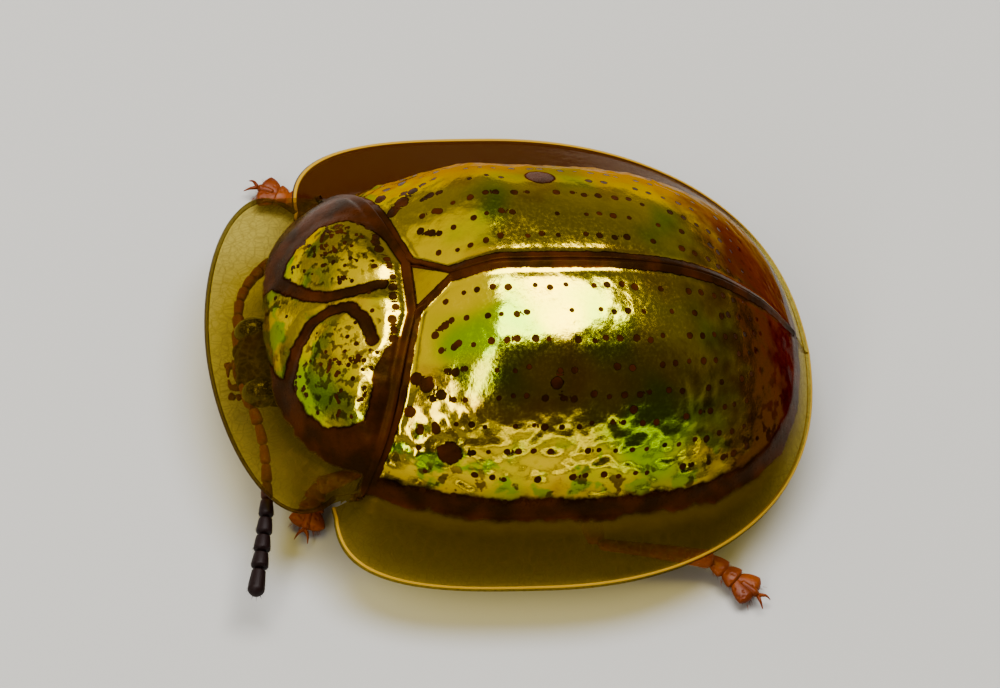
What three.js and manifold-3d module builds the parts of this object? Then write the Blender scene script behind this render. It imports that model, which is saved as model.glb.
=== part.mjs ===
import * as THREE from "three";
import { mergeVertices } from "three/addons/utils/BufferGeometryUtils.js";
import Module from "manifold-3d";

// A golden tortoise beetle at life size, standing. Millimetres, back up (+Z), head towards -Y.
// The beetle's own left side is at +X. Two thick wing-cases and a shield roof over a small body,
// and each of them has a domed disc with a broad flat margin round it.

const LENGTH = 6.5; // front edge of the shield to the tail
const FRONT = -LENGTH / 2;
const TAIL = LENGTH / 2;
const GAP = 0.03; // clear space left between neighbouring solids
const SHELL = 0.45; // thickness of the wing-cases and the shield
const SHELL_LEAN = 0.62; // how squarely to its upper side a shell is thick: 0 is straight down

// wing-cases
const CASE_HALF_WIDTH = 2.82;
const CASE_WIDEST_Y = 0;
const CASE_FRONT_Y = -2.12; // the margin's front corners reach this far forwards
const CASE_CORNER_X = 1.78; // the notch where the margin meets the shield
const CASE_FRONT_POWER = 3.1;
const CASE_REAR_POWER = 2.25;
const CASE_EDGE_Z = 0.68; // top of the margin's outer edge above the floor
const DISC_FOOT_Z = 1.0; // where the dome meets the margin
const DISC_TOP_Z = 2.62;
const DISC_TOP_Y = -0.32;
const DISC_HALF_WIDTH = 2.15;
const DISC_REAR_LENGTH = 3.37; // from the highest point back to the foot at the tail
const DISC_REAR_POWER = 3.4;
const DISC_FRONT_SLOPE = 0.46; // share of the height lost for each millimetre towards the shield
const DISC_FRONT_ROUNDING = 0.35; // millimetres over which the top rounds into that slope
const DISC_SIDE_POWER = 3.4; // squareness of the dome seen from the front
const DISC_SIDE_POWER_FRONT = 0.7; // added for each millimetre towards the shoulders
const DISC_SIDE_POWER_REAR = 0.3; // taken off for each millimetre towards the tail
const DISC_SHARE = 0.75; // share of a wing-case's grid that the dome takes
const SUTURE_STOP = 0.1; // the inner edge ends this far short of the dome's foot at the tail
const TAIL_STEP = 0.004; // keeps a wing-case's lines apart where they run together at the tail
const CASE_ROWS = 20;
const CASE_COLUMNS = 14;

// joint between the shield and the wing-cases, and the small triangular plate behind it
const PLATE_HALF_WIDTH = 0.3;
const PLATE_BASE_Y = -1.26;
const PLATE_TIP_Y = -0.9;
const PLATE_LIFT = 0.02; // the plate stands this far above the dome, and is this wide at its tip
const JOINT_SIDE = new THREE.Vector2(1.84, -1.83);
const JOINT_BULGE = 0.07;
const NOTCH = new THREE.Vector2(1.8, -2.04);
const JOINT_SHARE = 0.9; // share of the shield's hind edge that the joint takes, and the notch the rest

// shield over the head
const SHIELD_HALF_WIDTH = 1.93;
const SHIELD_WIDEST_Y = -2.45;
const SHIELD_POWER = 1.9;
const SHIELD_CORNER_X = 1.62; // the middle of the round of its hind corners
const SHIELD_CORNER_POWER = 2;
const SHIELD_CORNER_TURN = Math.PI / 3;
const SHIELD_EDGE_Z = 0.84;
const SHIELD_FOOT_Z = 1.08;
const SHIELD_DISC_SHARE = 0.73; // share of the way from the hind edge to the front that the disc takes
const SHIELD_DISC_SIDE = 0.85; // share of the way out to the notch where the disc ends
const SHIELD_DISC_LEAST = 0.22;
const SHIELD_DISC_SQUARENESS = 4; // outline of the disc seen from above
const SHIELD_DISC_ROUNDING = 0.8;
const SHIELD_CURVE = 1.9; // how late the disc falls off towards the front
const SHIELD_MARGIN_CURVE = 3; // how late the margin bends down to its edge
const SHIELD_LEAN_START = 0.7; // from here out to the notch the underside turns to lie straight below
const SHIELD_LEAN_END = 0.9;
const SHIELD_COLUMNS = 22;
const SHIELD_ROWS = 9;
const SHIELD_INNER_ROWS = 2 / 3; // share of the grid's rows that lie on the disc

// body under the shell
const BELLY_Z = 0.46;
const BELLY_RISE = 0.3; // how much higher the belly is at its sides
const BELLY_FLATNESS = 6;
const BODY_LEAST = 0.12; // least height from belly to back
const BODY_STRETCH = 1.13; // the back falls off this much sooner than the shell over it
const BODY_INSET = 0.53; // shell thickness and the space under it
const PROTHORAX_AT = [0, -1.66, 0.9];
const PROTHORAX_SIZE = [1.02, 0.48, 0.44];
const THORAX_FRONT_HALF_WIDTH = 1.2;
const THORAX_HALF_WIDTH = 1.42;
const THORAX_FRONT_Y = -1.1;
const WAIST_Y = 0.62;
const ABDOMEN_HALF_WIDTH = 1.52;
const ABDOMEN_END_Y = 2.55;
const ABDOMEN_END_HALF_WIDTH = 0.08;
const ABDOMEN_TAPER = 2.6;
const TRUNK_COLUMNS = 8;
const THORAX_ROWS = 7;
const ABDOMEN_ROWS = 9;
const BALL_SIDES = 12;
const BALL_RINGS = 8;

// head, eyes and feelers
const HEAD_AT = [0, -2.46, 0.67];
const HEAD_SIZE = [0.54, 0.42, 0.26];
const EYE_AT = [0.43, -2.58, 0.7];
const EYE_SIZE = [0.13, 0.19, 0.16];
const MOUTH_AT = [0, -2.72, 0.48];
const MOUTH_SIZE = [0.24, 0.18, 0.16];
const FEELER_BASE_RADIUS = 0.2;
const FEELER_CLUB_RADIUS = 0.23;
const FEELER_STEPS = 8;
const FEELER_TIP = 0.45; // share of the thickness left at the tip

// legs: thickness of the three lengths, and the height of their middles above the floor
const FEMUR_RADIUS = 0.25;
const TIBIA_RADIUS = 0.22;
const FOOT_HALF_WIDTH = 0.24;
const FOOT_HALF_HEIGHT = 0.19;
const FOOT_MIDDLE_Z = 0.16;
const COXA_Z = 0.42;
const KNEE_Z = 0.52;
const ANKLE_Z = 0.27;
const LIMB_SIDES = 8;
const LIMB_STEPS = 5;
const LIMB_END = 0.62; // share of the thickness left at the blunt ends
const LIMB_SWELLING = 0.12;
const END_SLOPE = 4; // how fast an end thickens along the length
const FOOT_HEEL = 0.72; // width of the heel, what the lobes add, and what is lost to the claws
const FOOT_LOBES = 0.4;
const FOOT_NARROWING = 0.25;
const FOOT_LOBES_LENGTH = 0.8;
const FOOT_THINNING = 0.15;

// hip, knee, ankle and claw tip of each leg, seen from above
const LEGS = {
  front_left: [[0.4, -1.55], [1.2, -1.6], [1.25, -2.12], [1.8, -2.34]],
  middle_left: [[0.6, -0.5], [1.5, -0.72], [1.34, 0.05], [1.52, 0.62]],
  hind_left: [[0.7, 0.5], [2.18, 0.68], [2.24, 1.97], [2.71, 2.5]],
  front_right: [[-0.4, -1.45], [-1.62, -1.42], [-2.32, -1.92], [-2.6, -2.42]],
  middle_right: [[-0.6, -0.5], [-1.75, -0.72], [-2.05, -0.02], [-2.42, 0.42]],
  hind_right: [[-0.7, 0.7], [-1.9, 0.98], [-1.62, 1.95], [-1.78, 2.45]],
};
const FEELERS = {
  left: [
    [0.3, -2.74, 0.7],
    [0.9, -2.66, 0.64],
    [1.57, -2.75, 0.6],
    [2.2, -2.9, 0.56],
    [2.81, -3.05, 0.53],
  ],
  right: [
    [-0.3, -2.74, 0.7],
    [-0.8, -2.72, 0.62],
    [-1.22, -2.52, 0.55],
    [-1.42, -2.15, 0.48],
    [-1.3, -1.95, 0.44],
  ],
};

const COLOURS = {
  gold: { color: 0xc9a227, metalness: 0.9, roughness: 0.25 },
  chitin: { color: 0x3a1a0c, metalness: 0.0, roughness: 0.5 },
  leg: { color: 0x7a3408, metalness: 0.0, roughness: 0.45 },
  feeler: { color: 0x2a1418, metalness: 0.0, roughness: 0.5 },
  eye: { color: 0x26241a, metalness: 0.0, roughness: 0.2 },
};

const wasm = await Module();
wasm.setup();

const lerp = THREE.MathUtils.lerp;
const clamp01 = (value) => THREE.MathUtils.clamp(value, 0, 1);

// A block of columns by rows, bent into shape: place(u, v, w) gives the point for 0 to 1 along
// each side.
function bentBlock(columns, rows, place) {
  const geometry = new THREE.BoxGeometry(1, 1, 1, columns, rows, 1);
  const position = geometry.getAttribute("position");
  const point = new THREE.Vector3();
  for (let i = 0; i < position.count; i++) {
    point.fromBufferAttribute(position, i).addScalar(0.5);
    point.copy(place(point.x, point.y, point.z));
    position.setXYZ(i, point.x, point.y, point.z);
  }
  return welded(geometry);
}

function welded(geometry) {
  geometry.deleteAttribute("normal");
  geometry.deleteAttribute("uv");
  return mergeVertices(geometry, 1e-4);
}

// The same shape on the other side of the body, its faces turned back to point outwards.
function mirrored(geometry) {
  const copy = geometry.clone().scale(-1, 1, 1);
  const index = copy.index.array;
  for (let i = 0; i < index.length; i += 3) {
    [index[i + 1], index[i + 2]] = [index[i + 2], index[i + 1]];
  }
  return copy;
}

function toSolid(geometry) {
  return new wasm.Manifold(
    new wasm.Mesh({
      numProp: 3,
      vertProperties: new Float32Array(geometry.getAttribute("position").array),
      triVerts: new Uint32Array(geometry.index.array),
    }),
  );
}

function toGeometry(solid) {
  const mesh = solid.getMesh();
  const geometry = new THREE.BufferGeometry();
  geometry.setAttribute("position", new THREE.BufferAttribute(mesh.vertProperties, 3));
  geometry.setIndex(new THREE.BufferAttribute(mesh.triVerts, 1));
  return geometry;
}

// A quarter of a superellipse from (halfWidth, yWide) round to (middleX, yEnd).
function quarter(turn, middleX, halfWidth, yWide, yEnd, power) {
  const across = Math.max(Math.cos(turn), 0) ** (2 / power);
  const along = Math.max(Math.sin(turn), 0) ** (2 / power);
  return new THREE.Vector3(
    middleX + (halfWidth - middleX) * across,
    yWide + (yEnd - yWide) * along,
    0,
  );
}

// Outer edge of one wing-case, from the notch at the shield round to the tail.
class CaseEdge extends THREE.Curve {
  getPoint(t) {
    const turn = lerp(-Math.PI / 2, Math.PI / 2, t);
    const [middleX, endY, power] =
      turn < 0 ? [CASE_CORNER_X, CASE_FRONT_Y, CASE_FRONT_POWER] : [0, TAIL, CASE_REAR_POWER];
    return quarter(Math.abs(turn), middleX, CASE_HALF_WIDTH, CASE_WIDEST_Y, endY, power);
  }
}

// How far the dome has fallen from its highest point along the middle line, as a share of its height.
function fallAlong(y) {
  if (y > DISC_TOP_Y) return ((y - DISC_TOP_Y) / DISC_REAR_LENGTH) ** DISC_REAR_POWER;
  const ahead = Math.hypot(DISC_TOP_Y - y, DISC_FRONT_ROUNDING) - DISC_FRONT_ROUNDING;
  return DISC_FRONT_SLOPE * ahead;
}

function sidePower(y) {
  return DISC_SIDE_POWER - y * (y < 0 ? DISC_SIDE_POWER_FRONT : DISC_SIDE_POWER_REAR);
}

// Height of the wing-cases' dome over a point of the plan.
function domeHeight(x, y, inset = 0) {
  const side = (Math.abs(x) / (DISC_HALF_WIDTH - inset)) ** sidePower(y);
  const share = Math.max(1 - side - fallAlong(y), 0);
  return DISC_FOOT_Z + (DISC_TOP_Z - DISC_FOOT_Z) * share;
}

// Foot of the dome on one wing-case, from the shield's joint round to the tail.
class DiscEdge extends THREE.Curve {
  getPoint(t) {
    const end = DISC_TOP_Y + DISC_REAR_LENGTH;
    const y = lerp(JOINT_SIDE.y, end, Math.sin((t * Math.PI) / 2));
    const share = Math.max(1 - fallAlong(y), 0);
    return new THREE.Vector3(DISC_HALF_WIDTH * share ** (1 / sidePower(y)), y, 0);
  }
}

const caseEdge = new CaseEdge();
const discEdge = new DiscEdge();

// Inner edge of one wing-case: along the triangular plate, then down the middle line.
function sutureX(y) {
  const share = clamp01((PLATE_TIP_Y - y) / (PLATE_TIP_Y - PLATE_BASE_Y));
  return lerp(GAP / 2, PLATE_HALF_WIDTH + GAP, share);
}

// A point of one wing-case's upper side, u from the suture out to the edge and v from the shield
// to the tail.
function caseTop(u, v) {
  const end = DISC_TOP_Y + DISC_REAR_LENGTH - SUTURE_STOP;
  const y = lerp(PLATE_BASE_Y, end, v);
  const inner = new THREE.Vector3(sutureX(y), y, 0);
  const foot = discEdge.getPointAt(v);
  const outer = caseEdge.getPointAt(v);
  foot.x = Math.max(foot.x, GAP / 2 + TAIL_STEP);
  outer.x = Math.max(outer.x, GAP / 2 + 2 * TAIL_STEP);
  if (u <= DISC_SHARE) {
    const share = u / DISC_SHARE;
    const point = inner.clone().lerp(foot, share);
    point.y += JOINT_BULGE * Math.sin(Math.PI * share * share) * (1 - v) ** 4;
    point.z = domeHeight(point.x, point.y);
    return point;
  }
  const share = (u - DISC_SHARE) / (1 - DISC_SHARE);
  const point = foot.lerp(outer, share);
  point.z = lerp(DISC_FOOT_Z, CASE_EDGE_Z, share);
  return point;
}

// The point under top(u, v), one shell thickness inwards. lean is 1 to go nearly square to the
// surface there and 0 to go straight down.
function underside(top, u, v, lean) {
  const step = 0.02;
  const at = top(u, v);
  const along = top(u, Math.min(v + step, 1)).sub(top(u, Math.max(v - step, 0)));
  const across = top(Math.min(u + step, 1), v).sub(top(Math.max(u - step, 0), v));
  const normal = across.cross(along).normalize();
  const down = new THREE.Vector3(0, 0, 1).lerp(normal, lean * SHELL_LEAN).normalize();
  return at.addScaledVector(down, -SHELL);
}

function wingCase() {
  return bentBlock(CASE_COLUMNS, CASE_ROWS, (u, v, w) => {
    if (w > 0.5) return caseTop(u, v);
    const lean = Math.min((1 - u) / (1 - DISC_SHARE), 1);
    const point = underside(caseTop, u, v, lean);
    point.x = Math.max(point.x, GAP / 2);
    return point;
  });
}

// The small triangular plate between the wing-cases' inner front corners.
function trianglePlate() {
  return bentBlock(2, 3, (u, v, w) => {
    const y = lerp(PLATE_BASE_Y, PLATE_TIP_Y - GAP, v);
    const halfWidth = PLATE_HALF_WIDTH * (1 - v) + PLATE_LIFT;
    const x = lerp(-halfWidth, halfWidth, u);
    const z = domeHeight(x, y) + PLATE_LIFT;
    return new THREE.Vector3(x, y, w > 0.5 ? z : z - SHELL);
  });
}

// The shield's hind edge, from the middle line (0) out to the notch (1).
function jointPoint(share) {
  if (share > JOINT_SHARE) {
    const point = JOINT_SIDE.clone().lerp(NOTCH, (share - JOINT_SHARE) / (1 - JOINT_SHARE));
    return new THREE.Vector2(point.x, point.y - GAP);
  }
  const x = (JOINT_SIDE.x * share) / JOINT_SHARE;
  if (x < PLATE_HALF_WIDTH) return new THREE.Vector2(x, PLATE_BASE_Y - GAP);
  const along = (x - PLATE_HALF_WIDTH) / (JOINT_SIDE.x - PLATE_HALF_WIDTH);
  const bulge = JOINT_BULGE * Math.sin(Math.PI * along * along);
  return new THREE.Vector2(x, lerp(PLATE_BASE_Y, JOINT_SIDE.y, along) + bulge - GAP);
}

// Outer edge of the shield, from the front of the middle line round to the notch.
class ShieldEdge extends THREE.Curve {
  getPoint(t) {
    const turn = lerp(-Math.PI / 2, SHIELD_CORNER_TURN, t);
    const [middleX, endY, power] =
      turn < 0 ? [0, FRONT, SHIELD_POWER] : [SHIELD_CORNER_X, NOTCH.y, SHIELD_CORNER_POWER];
    return quarter(Math.abs(turn), middleX, SHIELD_HALF_WIDTH, SHIELD_WIDEST_Y, endY, power);
  }
}

const shieldEdge = new ShieldEdge();

// How far towards the front the shield's disc reaches, on the line that leaves the hind edge at a share.
function discReach(share) {
  const side = Math.min(share / SHIELD_DISC_SIDE, 1);
  const outline = (1 - side ** SHIELD_DISC_SQUARENESS) ** SHIELD_DISC_ROUNDING;
  return Math.max(SHIELD_DISC_SHARE * outline, SHIELD_DISC_LEAST);
}

// A point of the shield's upper side, u from right to left and v from the hind edge to the front.
function shieldTop(u, v) {
  const share = Math.abs(2 * u - 1);
  const hind = jointPoint(share);
  const outer = shieldEdge.getPointAt(share);
  const reach = discReach(share);
  const along =
    v < SHIELD_INNER_ROWS
      ? (reach * v) / SHIELD_INNER_ROWS
      : lerp(reach, 1, (v - SHIELD_INNER_ROWS) / (1 - SHIELD_INNER_ROWS));
  const rise = Math.max(domeHeight(hind.x, hind.y) - SHIELD_FOOT_Z, 0);
  const disc = rise * Math.max(1 - (along / reach) ** SHIELD_CURVE, 0);
  return new THREE.Vector3(
    Math.sign(u - 0.5) * lerp(hind.x, outer.x, along),
    lerp(hind.y, outer.y, along),
    lerp(SHIELD_FOOT_Z, SHIELD_EDGE_Z, along ** SHIELD_MARGIN_CURVE) + disc,
  );
}

function shield() {
  return bentBlock(SHIELD_COLUMNS, SHIELD_ROWS, (u, v, w) => {
    const flipped = 1 - u; // the front lies towards -Y, so the grid runs from left to right
    if (w > 0.5) return shieldTop(flipped, v);
    const share = Math.abs(2 * u - 1);
    const lean = clamp01((SHIELD_LEAN_END - share) / (SHIELD_LEAN_END - SHIELD_LEAN_START));
    return underside((a, b) => shieldTop(1 - a, b), u, v, lean);
  });
}

// A length of body: its back follows the dome one inset lower, and its belly is nearly flat.
function trunk(frontY, endY, halfWidthAt, rows) {
  return bentBlock(TRUNK_COLUMNS, rows, (u, v, w) => {
    const y = lerp(frontY, endY, v);
    const across = 2 * u - 1;
    const x = across * halfWidthAt(v);
    const bellyZ = BELLY_Z + BELLY_RISE * across ** BELLY_FLATNESS;
    const backZ = domeHeight(x, y * BODY_STRETCH, BODY_INSET) - BODY_INSET;
    return new THREE.Vector3(x, y, w > 0.5 ? Math.max(backZ, bellyZ + BODY_LEAST) : bellyZ);
  });
}

function ellipsoid(at, size, extra = 0) {
  const geometry = new THREE.SphereGeometry(1, BALL_SIDES, BALL_RINGS);
  geometry.scale(size[0] + extra, size[1] + extra, size[2] + extra);
  geometry.translate(...at);
  return welded(geometry);
}

// A round bar along points, with blunt ends. radiusAt gives its half width and half height along it.
function bar(points, radiusAt, steps) {
  const curve = new THREE.CatmullRomCurve3(points.map((p) => new THREE.Vector3(...p)));
  const geometry = new THREE.CylinderGeometry(1, 1, 1, LIMB_SIDES, steps);
  const position = geometry.getAttribute("position");
  const point = new THREE.Vector3();
  for (let i = 0; i < position.count; i++) {
    point.fromBufferAttribute(position, i);
    const along = point.y + 0.5;
    const ahead = curve.getTangentAt(along);
    const sideways = new THREE.Vector3(0, 0, 1).cross(ahead).normalize();
    const up = ahead.clone().cross(sideways).normalize();
    const [halfWidth, halfHeight] = radiusAt(along);
    const turn = Math.PI / LIMB_SIDES;
    const a = point.x * Math.cos(turn) - point.z * Math.sin(turn);
    const b = point.x * Math.sin(turn) + point.z * Math.cos(turn);
    const placed = curve.getPointAt(along);
    placed.addScaledVector(sideways, a * halfWidth).addScaledVector(up, -b * halfHeight);
    position.setXYZ(i, placed.x, placed.y, placed.z);
  }
  return welded(geometry);
}

// Half thickness of a bar with rounded ends and a swelling in the middle.
function rounded(radius) {
  return (along) => {
    const blunt = Math.min(1, LIMB_END + END_SLOPE * Math.min(along, 1 - along));
    const swelling = 1 - LIMB_SWELLING + LIMB_SWELLING * Math.sin(Math.PI * along);
    const size = radius * blunt * swelling;
    return [size, size];
  };
}

function grown(radiusAt, extra) {
  return (along) => radiusAt(along).map((size) => size + extra);
}

// One leg's three lengths, each cut back where the one before it lies, and a fatter copy of each.
function leg([hip, knee, ankle, tip]) {
  const hipAt = [...hip, COXA_Z];
  const kneeAt = [...knee, KNEE_Z];
  const ankleAt = [...ankle, ANKLE_Z];
  const heelAt = [...ankle, FOOT_MIDDLE_Z];
  const tipAt = [...tip, FOOT_MIDDLE_Z];
  const footWidth = (along) => {
    const lobes = Math.sin(Math.PI * Math.min(along / FOOT_LOBES_LENGTH, 1));
    const width = FOOT_HEEL + FOOT_LOBES * lobes - FOOT_NARROWING * along;
    return [FOOT_HALF_WIDTH * width, FOOT_HALF_HEIGHT * (1 - FOOT_THINNING * along)];
  };
  const lengths = {
    femur: [[hipAt, kneeAt], rounded(FEMUR_RADIUS)],
    tibia: [[kneeAt, ankleAt], rounded(TIBIA_RADIUS)],
    tarsus: [[heelAt, tipAt], footWidth],
  };
  const made = {};
  let before = null;
  for (const [name, [points, radiusAt]] of Object.entries(lengths)) {
    let solid = toSolid(bar(points, radiusAt, LIMB_STEPS));
    if (before) solid = largest(solid.subtract(before));
    made[name] = onFloor(solid);
    before = toSolid(bar(points, grown(radiusAt, GAP), LIMB_STEPS));
    made[name + "_space"] = before;
  }
  return made;
}

// Nothing reaches below the floor: the soles are cut off flat there.
function onFloor(solid) {
  const slab = new THREE.BoxGeometry(3 * LENGTH, 3 * LENGTH, LENGTH);
  slab.translate(0, 0, -LENGTH / 2);
  return solid.subtract(toSolid(welded(slab)));
}

// The biggest of the pieces that a cut leaves.
function largest(solid) {
  return solid.decompose().sort((a, b) => b.volume() - a.volume())[0];
}

function feeler(points, extra) {
  const radiusAt = (along) => {
    const size = lerp(FEELER_BASE_RADIUS, FEELER_CLUB_RADIUS, along);
    const tip = Math.min(1, FEELER_TIP + END_SLOPE * (1 - along));
    return [size * tip + extra, size * tip + extra];
  };
  return toSolid(bar(points, radiusAt, FEELER_STEPS));
}

const solids = {};
const spaces = [];
for (const [name, points] of Object.entries(LEGS)) {
  const made = leg(points);
  for (const length of ["femur", "tibia", "tarsus"]) {
    solids[`${length}_${name}`] = [made[length], COLOURS.leg];
    spaces.push(made[`${length}_space`]);
  }
}

const headSpace = toSolid(ellipsoid(HEAD_AT, HEAD_SIZE, GAP));
for (const [name, points] of Object.entries(FEELERS)) {
  solids[`antenna_${name}`] = [largest(feeler(points, 0).subtract(headSpace)), COLOURS.feeler];
  spaces.push(feeler(points, GAP));
}

// What is built round the limbs and feelers is cut back to leave them clear.
function clearOf(solid, cutters) {
  return largest(cutters.reduce((left, cutter) => left.subtract(cutter), solid));
}

const eyeRight = [-EYE_AT[0], EYE_AT[1], EYE_AT[2]];
const faceCutters = [
  toSolid(ellipsoid(EYE_AT, EYE_SIZE, GAP)),
  toSolid(ellipsoid(eyeRight, EYE_SIZE, GAP)),
  toSolid(ellipsoid(MOUTH_AT, MOUTH_SIZE, GAP)),
];
solids.eye_left = [toSolid(ellipsoid(EYE_AT, EYE_SIZE)), COLOURS.eye];
solids.eye_right = [toSolid(ellipsoid(eyeRight, EYE_SIZE)), COLOURS.eye];
solids.mouthparts = [toSolid(ellipsoid(MOUTH_AT, MOUTH_SIZE)), COLOURS.chitin];
solids.head = [clearOf(toSolid(ellipsoid(HEAD_AT, HEAD_SIZE)), faceCutters), COLOURS.chitin];

const leftCase = wingCase();
const rightCase = mirrored(leftCase);
const shieldPlate = shield();

// A copy moved a little, for cutting a neighbour back so that a gap is left.
function moved(geometry, ...by) {
  return toSolid(geometry.clone().translate(...by));
}

const roof = [leftCase, rightCase, shieldPlate].map((shell) => moved(shell, 0, 0, -GAP));
const trunkSpaces = [...roof, ...spaces];
const prothorax = toSolid(ellipsoid(PROTHORAX_AT, PROTHORAX_SIZE));
const thoraxWidth = (v) => lerp(THORAX_FRONT_HALF_WIDTH, THORAX_HALF_WIDTH, v);
const abdomenWidth = (v) =>
  ABDOMEN_HALF_WIDTH * Math.sqrt(1 - v ** ABDOMEN_TAPER) + ABDOMEN_END_HALF_WIDTH;
const thorax = toSolid(trunk(THORAX_FRONT_Y, WAIST_Y - GAP, thoraxWidth, THORAX_ROWS));
const abdomen = toSolid(trunk(WAIST_Y, ABDOMEN_END_Y, abdomenWidth, ABDOMEN_ROWS));
solids.prothorax = [clearOf(prothorax, [headSpace, ...trunkSpaces]), COLOURS.chitin];
solids.thorax = [clearOf(thorax, trunkSpaces), COLOURS.chitin];
solids.abdomen = [clearOf(abdomen, trunkSpaces), COLOURS.chitin];

const caseSpaces = [leftCase, rightCase].map((shell) => moved(shell, 0, -GAP, 0));
solids.elytron_left = [clearOf(toSolid(leftCase), spaces), COLOURS.gold];
solids.elytron_right = [clearOf(toSolid(rightCase), spaces), COLOURS.gold];
solids.scutellum = [toSolid(trianglePlate()), COLOURS.gold];
solids.pronotum = [clearOf(toSolid(shieldPlate), [...caseSpaces, ...spaces, headSpace]), COLOURS.gold];

const beetle = new THREE.Group();
for (const [name, [solid, look]] of Object.entries(solids)) {
  const mesh = new THREE.Mesh(toGeometry(solid), new THREE.MeshStandardMaterial(look));
  mesh.name = name;
  beetle.add(mesh);
}

export default beetle;
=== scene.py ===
import functools
import math
import random

import bmesh
import bpy
from mathutils import Matrix, Vector, kdtree, noise


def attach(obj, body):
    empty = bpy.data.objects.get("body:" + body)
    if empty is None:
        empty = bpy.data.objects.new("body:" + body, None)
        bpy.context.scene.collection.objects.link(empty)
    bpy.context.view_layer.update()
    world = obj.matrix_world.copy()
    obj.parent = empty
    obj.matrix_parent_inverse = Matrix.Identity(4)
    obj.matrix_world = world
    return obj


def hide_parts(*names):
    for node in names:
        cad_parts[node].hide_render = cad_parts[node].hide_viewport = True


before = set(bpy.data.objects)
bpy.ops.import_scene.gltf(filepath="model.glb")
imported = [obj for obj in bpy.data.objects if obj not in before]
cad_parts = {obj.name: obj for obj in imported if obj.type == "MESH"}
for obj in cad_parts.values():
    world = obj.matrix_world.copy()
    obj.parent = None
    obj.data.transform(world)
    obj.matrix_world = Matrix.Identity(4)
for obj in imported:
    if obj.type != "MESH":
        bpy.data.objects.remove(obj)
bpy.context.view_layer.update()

# A golden tortoise beetle at life size. Sizes are in millimetres and become metres when a piece is
# finished. The head points to -Y, the beetle's left side to +X and its back up.

MM = 0.001


# The wing-cases. Two hard plates of chitin that meet down the middle of the back. Each has a domed disc,
# a mirror of many thin layers under clear cuticle, pitted in rows, and a broad clear margin.
# They grow in one piece, dark brown along the seam and round the foot of the dome.

CASE_HALF_WIDTH = 2.82
CASE_FRONT_Y = -2.12
CASE_TAIL_Y = 3.25
CASE_CORNER_X = 1.78
CASE_FRONT_POWER = 3.1
CASE_REAR_POWER = 2.25
CASE_EDGE_Z = 0.68
CASE_THICKNESS = 0.05
DISC_FOOT_Z = 1.0
DISC_TOP_Z = 2.62
DISC_TOP_Y = -0.32
DISC_HALF_WIDTH = 2.15
DISC_REAR_LENGTH = 3.37
DISC_REAR_POWER = 3.4
DISC_FRONT_SLOPE = 0.46
DISC_FRONT_ROUNDING = 0.35
DISC_SIDE_POWER = 3.4
DISC_SIDE_POWER_FRONT = 0.7
DISC_SIDE_POWER_REAR = 0.3
DISC_END_Y = 3.05
SUTURE_END_Y = 2.98
SEAM_HALF = 0.006  # half of the hairline between the two plates
PLATE_HALF_WIDTH = 0.3  # the small triangular plate that the seam starts from
PLATE_BASE_Y = -1.26
PLATE_TIP_Y = -0.9
JOINT_SIDE = (1.84, -1.83)  # outer end of the joint with the shield, across and along
JOINT_BULGE = 0.07
JOINT_BULGE_FADE = 4
NOTCH = (1.8, -2.04)  # where case and shield part at the beetle's edge
CASE_COLUMNS = 124
CASE_ROWS = 190
CASE_DISC_SHARE = 0.78  # share of the columns that lie on the dome
DOME_STEPS = 60  # samples across the dome when its length is measured
CREASE_REACH = 5  # points on each side of the dome's foot that are smoothed
CREASE_PASSES = 8
SMOOTHING = 0.5
CASE_SEED = 7

PIT_SPACING = 0.165
PIT_ROWS = 9
PIT_FOOT_ROOM = 0.6  # room between the last row and the foot, counted in rows
PIT_STAGGER = 0.45  # every second row starts this share of a space further on
PIT_MISSING = 0.13  # share of the places in a row that have no pit
PIT_FIRST = 0.05  # no pit nearer to the shield than this share of the row
PIT_SHIFT_ACROSS = 0.00917
PIT_SHIFT_ALONG = 0.006
PIT_RADIUS = 0.035
PIT_SIZES = (0.75, 1.2)
PIT_TAIL = 0.8  # behind this share of a row the pits are smaller
PIT_TAIL_SIZE = 0.8
PIT_DEPTH = 0.0035
PIT_SPOT = 0.06  # marks wider than this are flat
PIT_HOLLOW = 1.35  # a pit's hollow is this many times as wide as its dark floor
PITS_NEAR = 3  # so many pits are compared to find the one a point belongs to
ROW_SAMPLES = 40
# coarse pits near the shoulder: across, along and radius
SHOULDER_PITS = [
    (1.03, -1.35, 0.07),
    (1.14, -1.25, 0.08),
    (1.27, -1.12, 0.06),
    (1.33, -1.42, 0.065),
    (1.1, -0.98, 0.05),
    (0.64, -1.13, 0.045),
    (0.57, -1.03, 0.045),
    (0.84, -0.97, 0.04),
    (1.55, -1.16, 0.05),
    (1.52, -1.32, 0.045),
]
# plain dark spots on each wing-case, and its one spot with a soft edge: across, along and radius
SPOTS = {1: [(1.74, -1.01, 0.13), (1.32, 0.07, 0.07)], -1: [(1.75, -0.4, 0.05)]}
SOFT_SPOT = {1: (1.5, 0.9, 0.05), -1: (1.22, 0.2, 0.17)}

# ridges and grooves along an edge: height, distance from the edge and half width
SUTURE_RELIEF = [(0.02, 0.0, 0.06), (-0.006, 0.13, 0.04)]
FRONT_RELIEF = [(0.02, 0.0, 0.06), (-0.012, 0.12, 0.04)]
RIM_RELIEF = [(0.028, 0.035, 0.03)]
SUTURE_ROOF = 0.045  # the two cases meet in a very low roof
SUTURE_ROOF_WIDTH = 0.6
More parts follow.
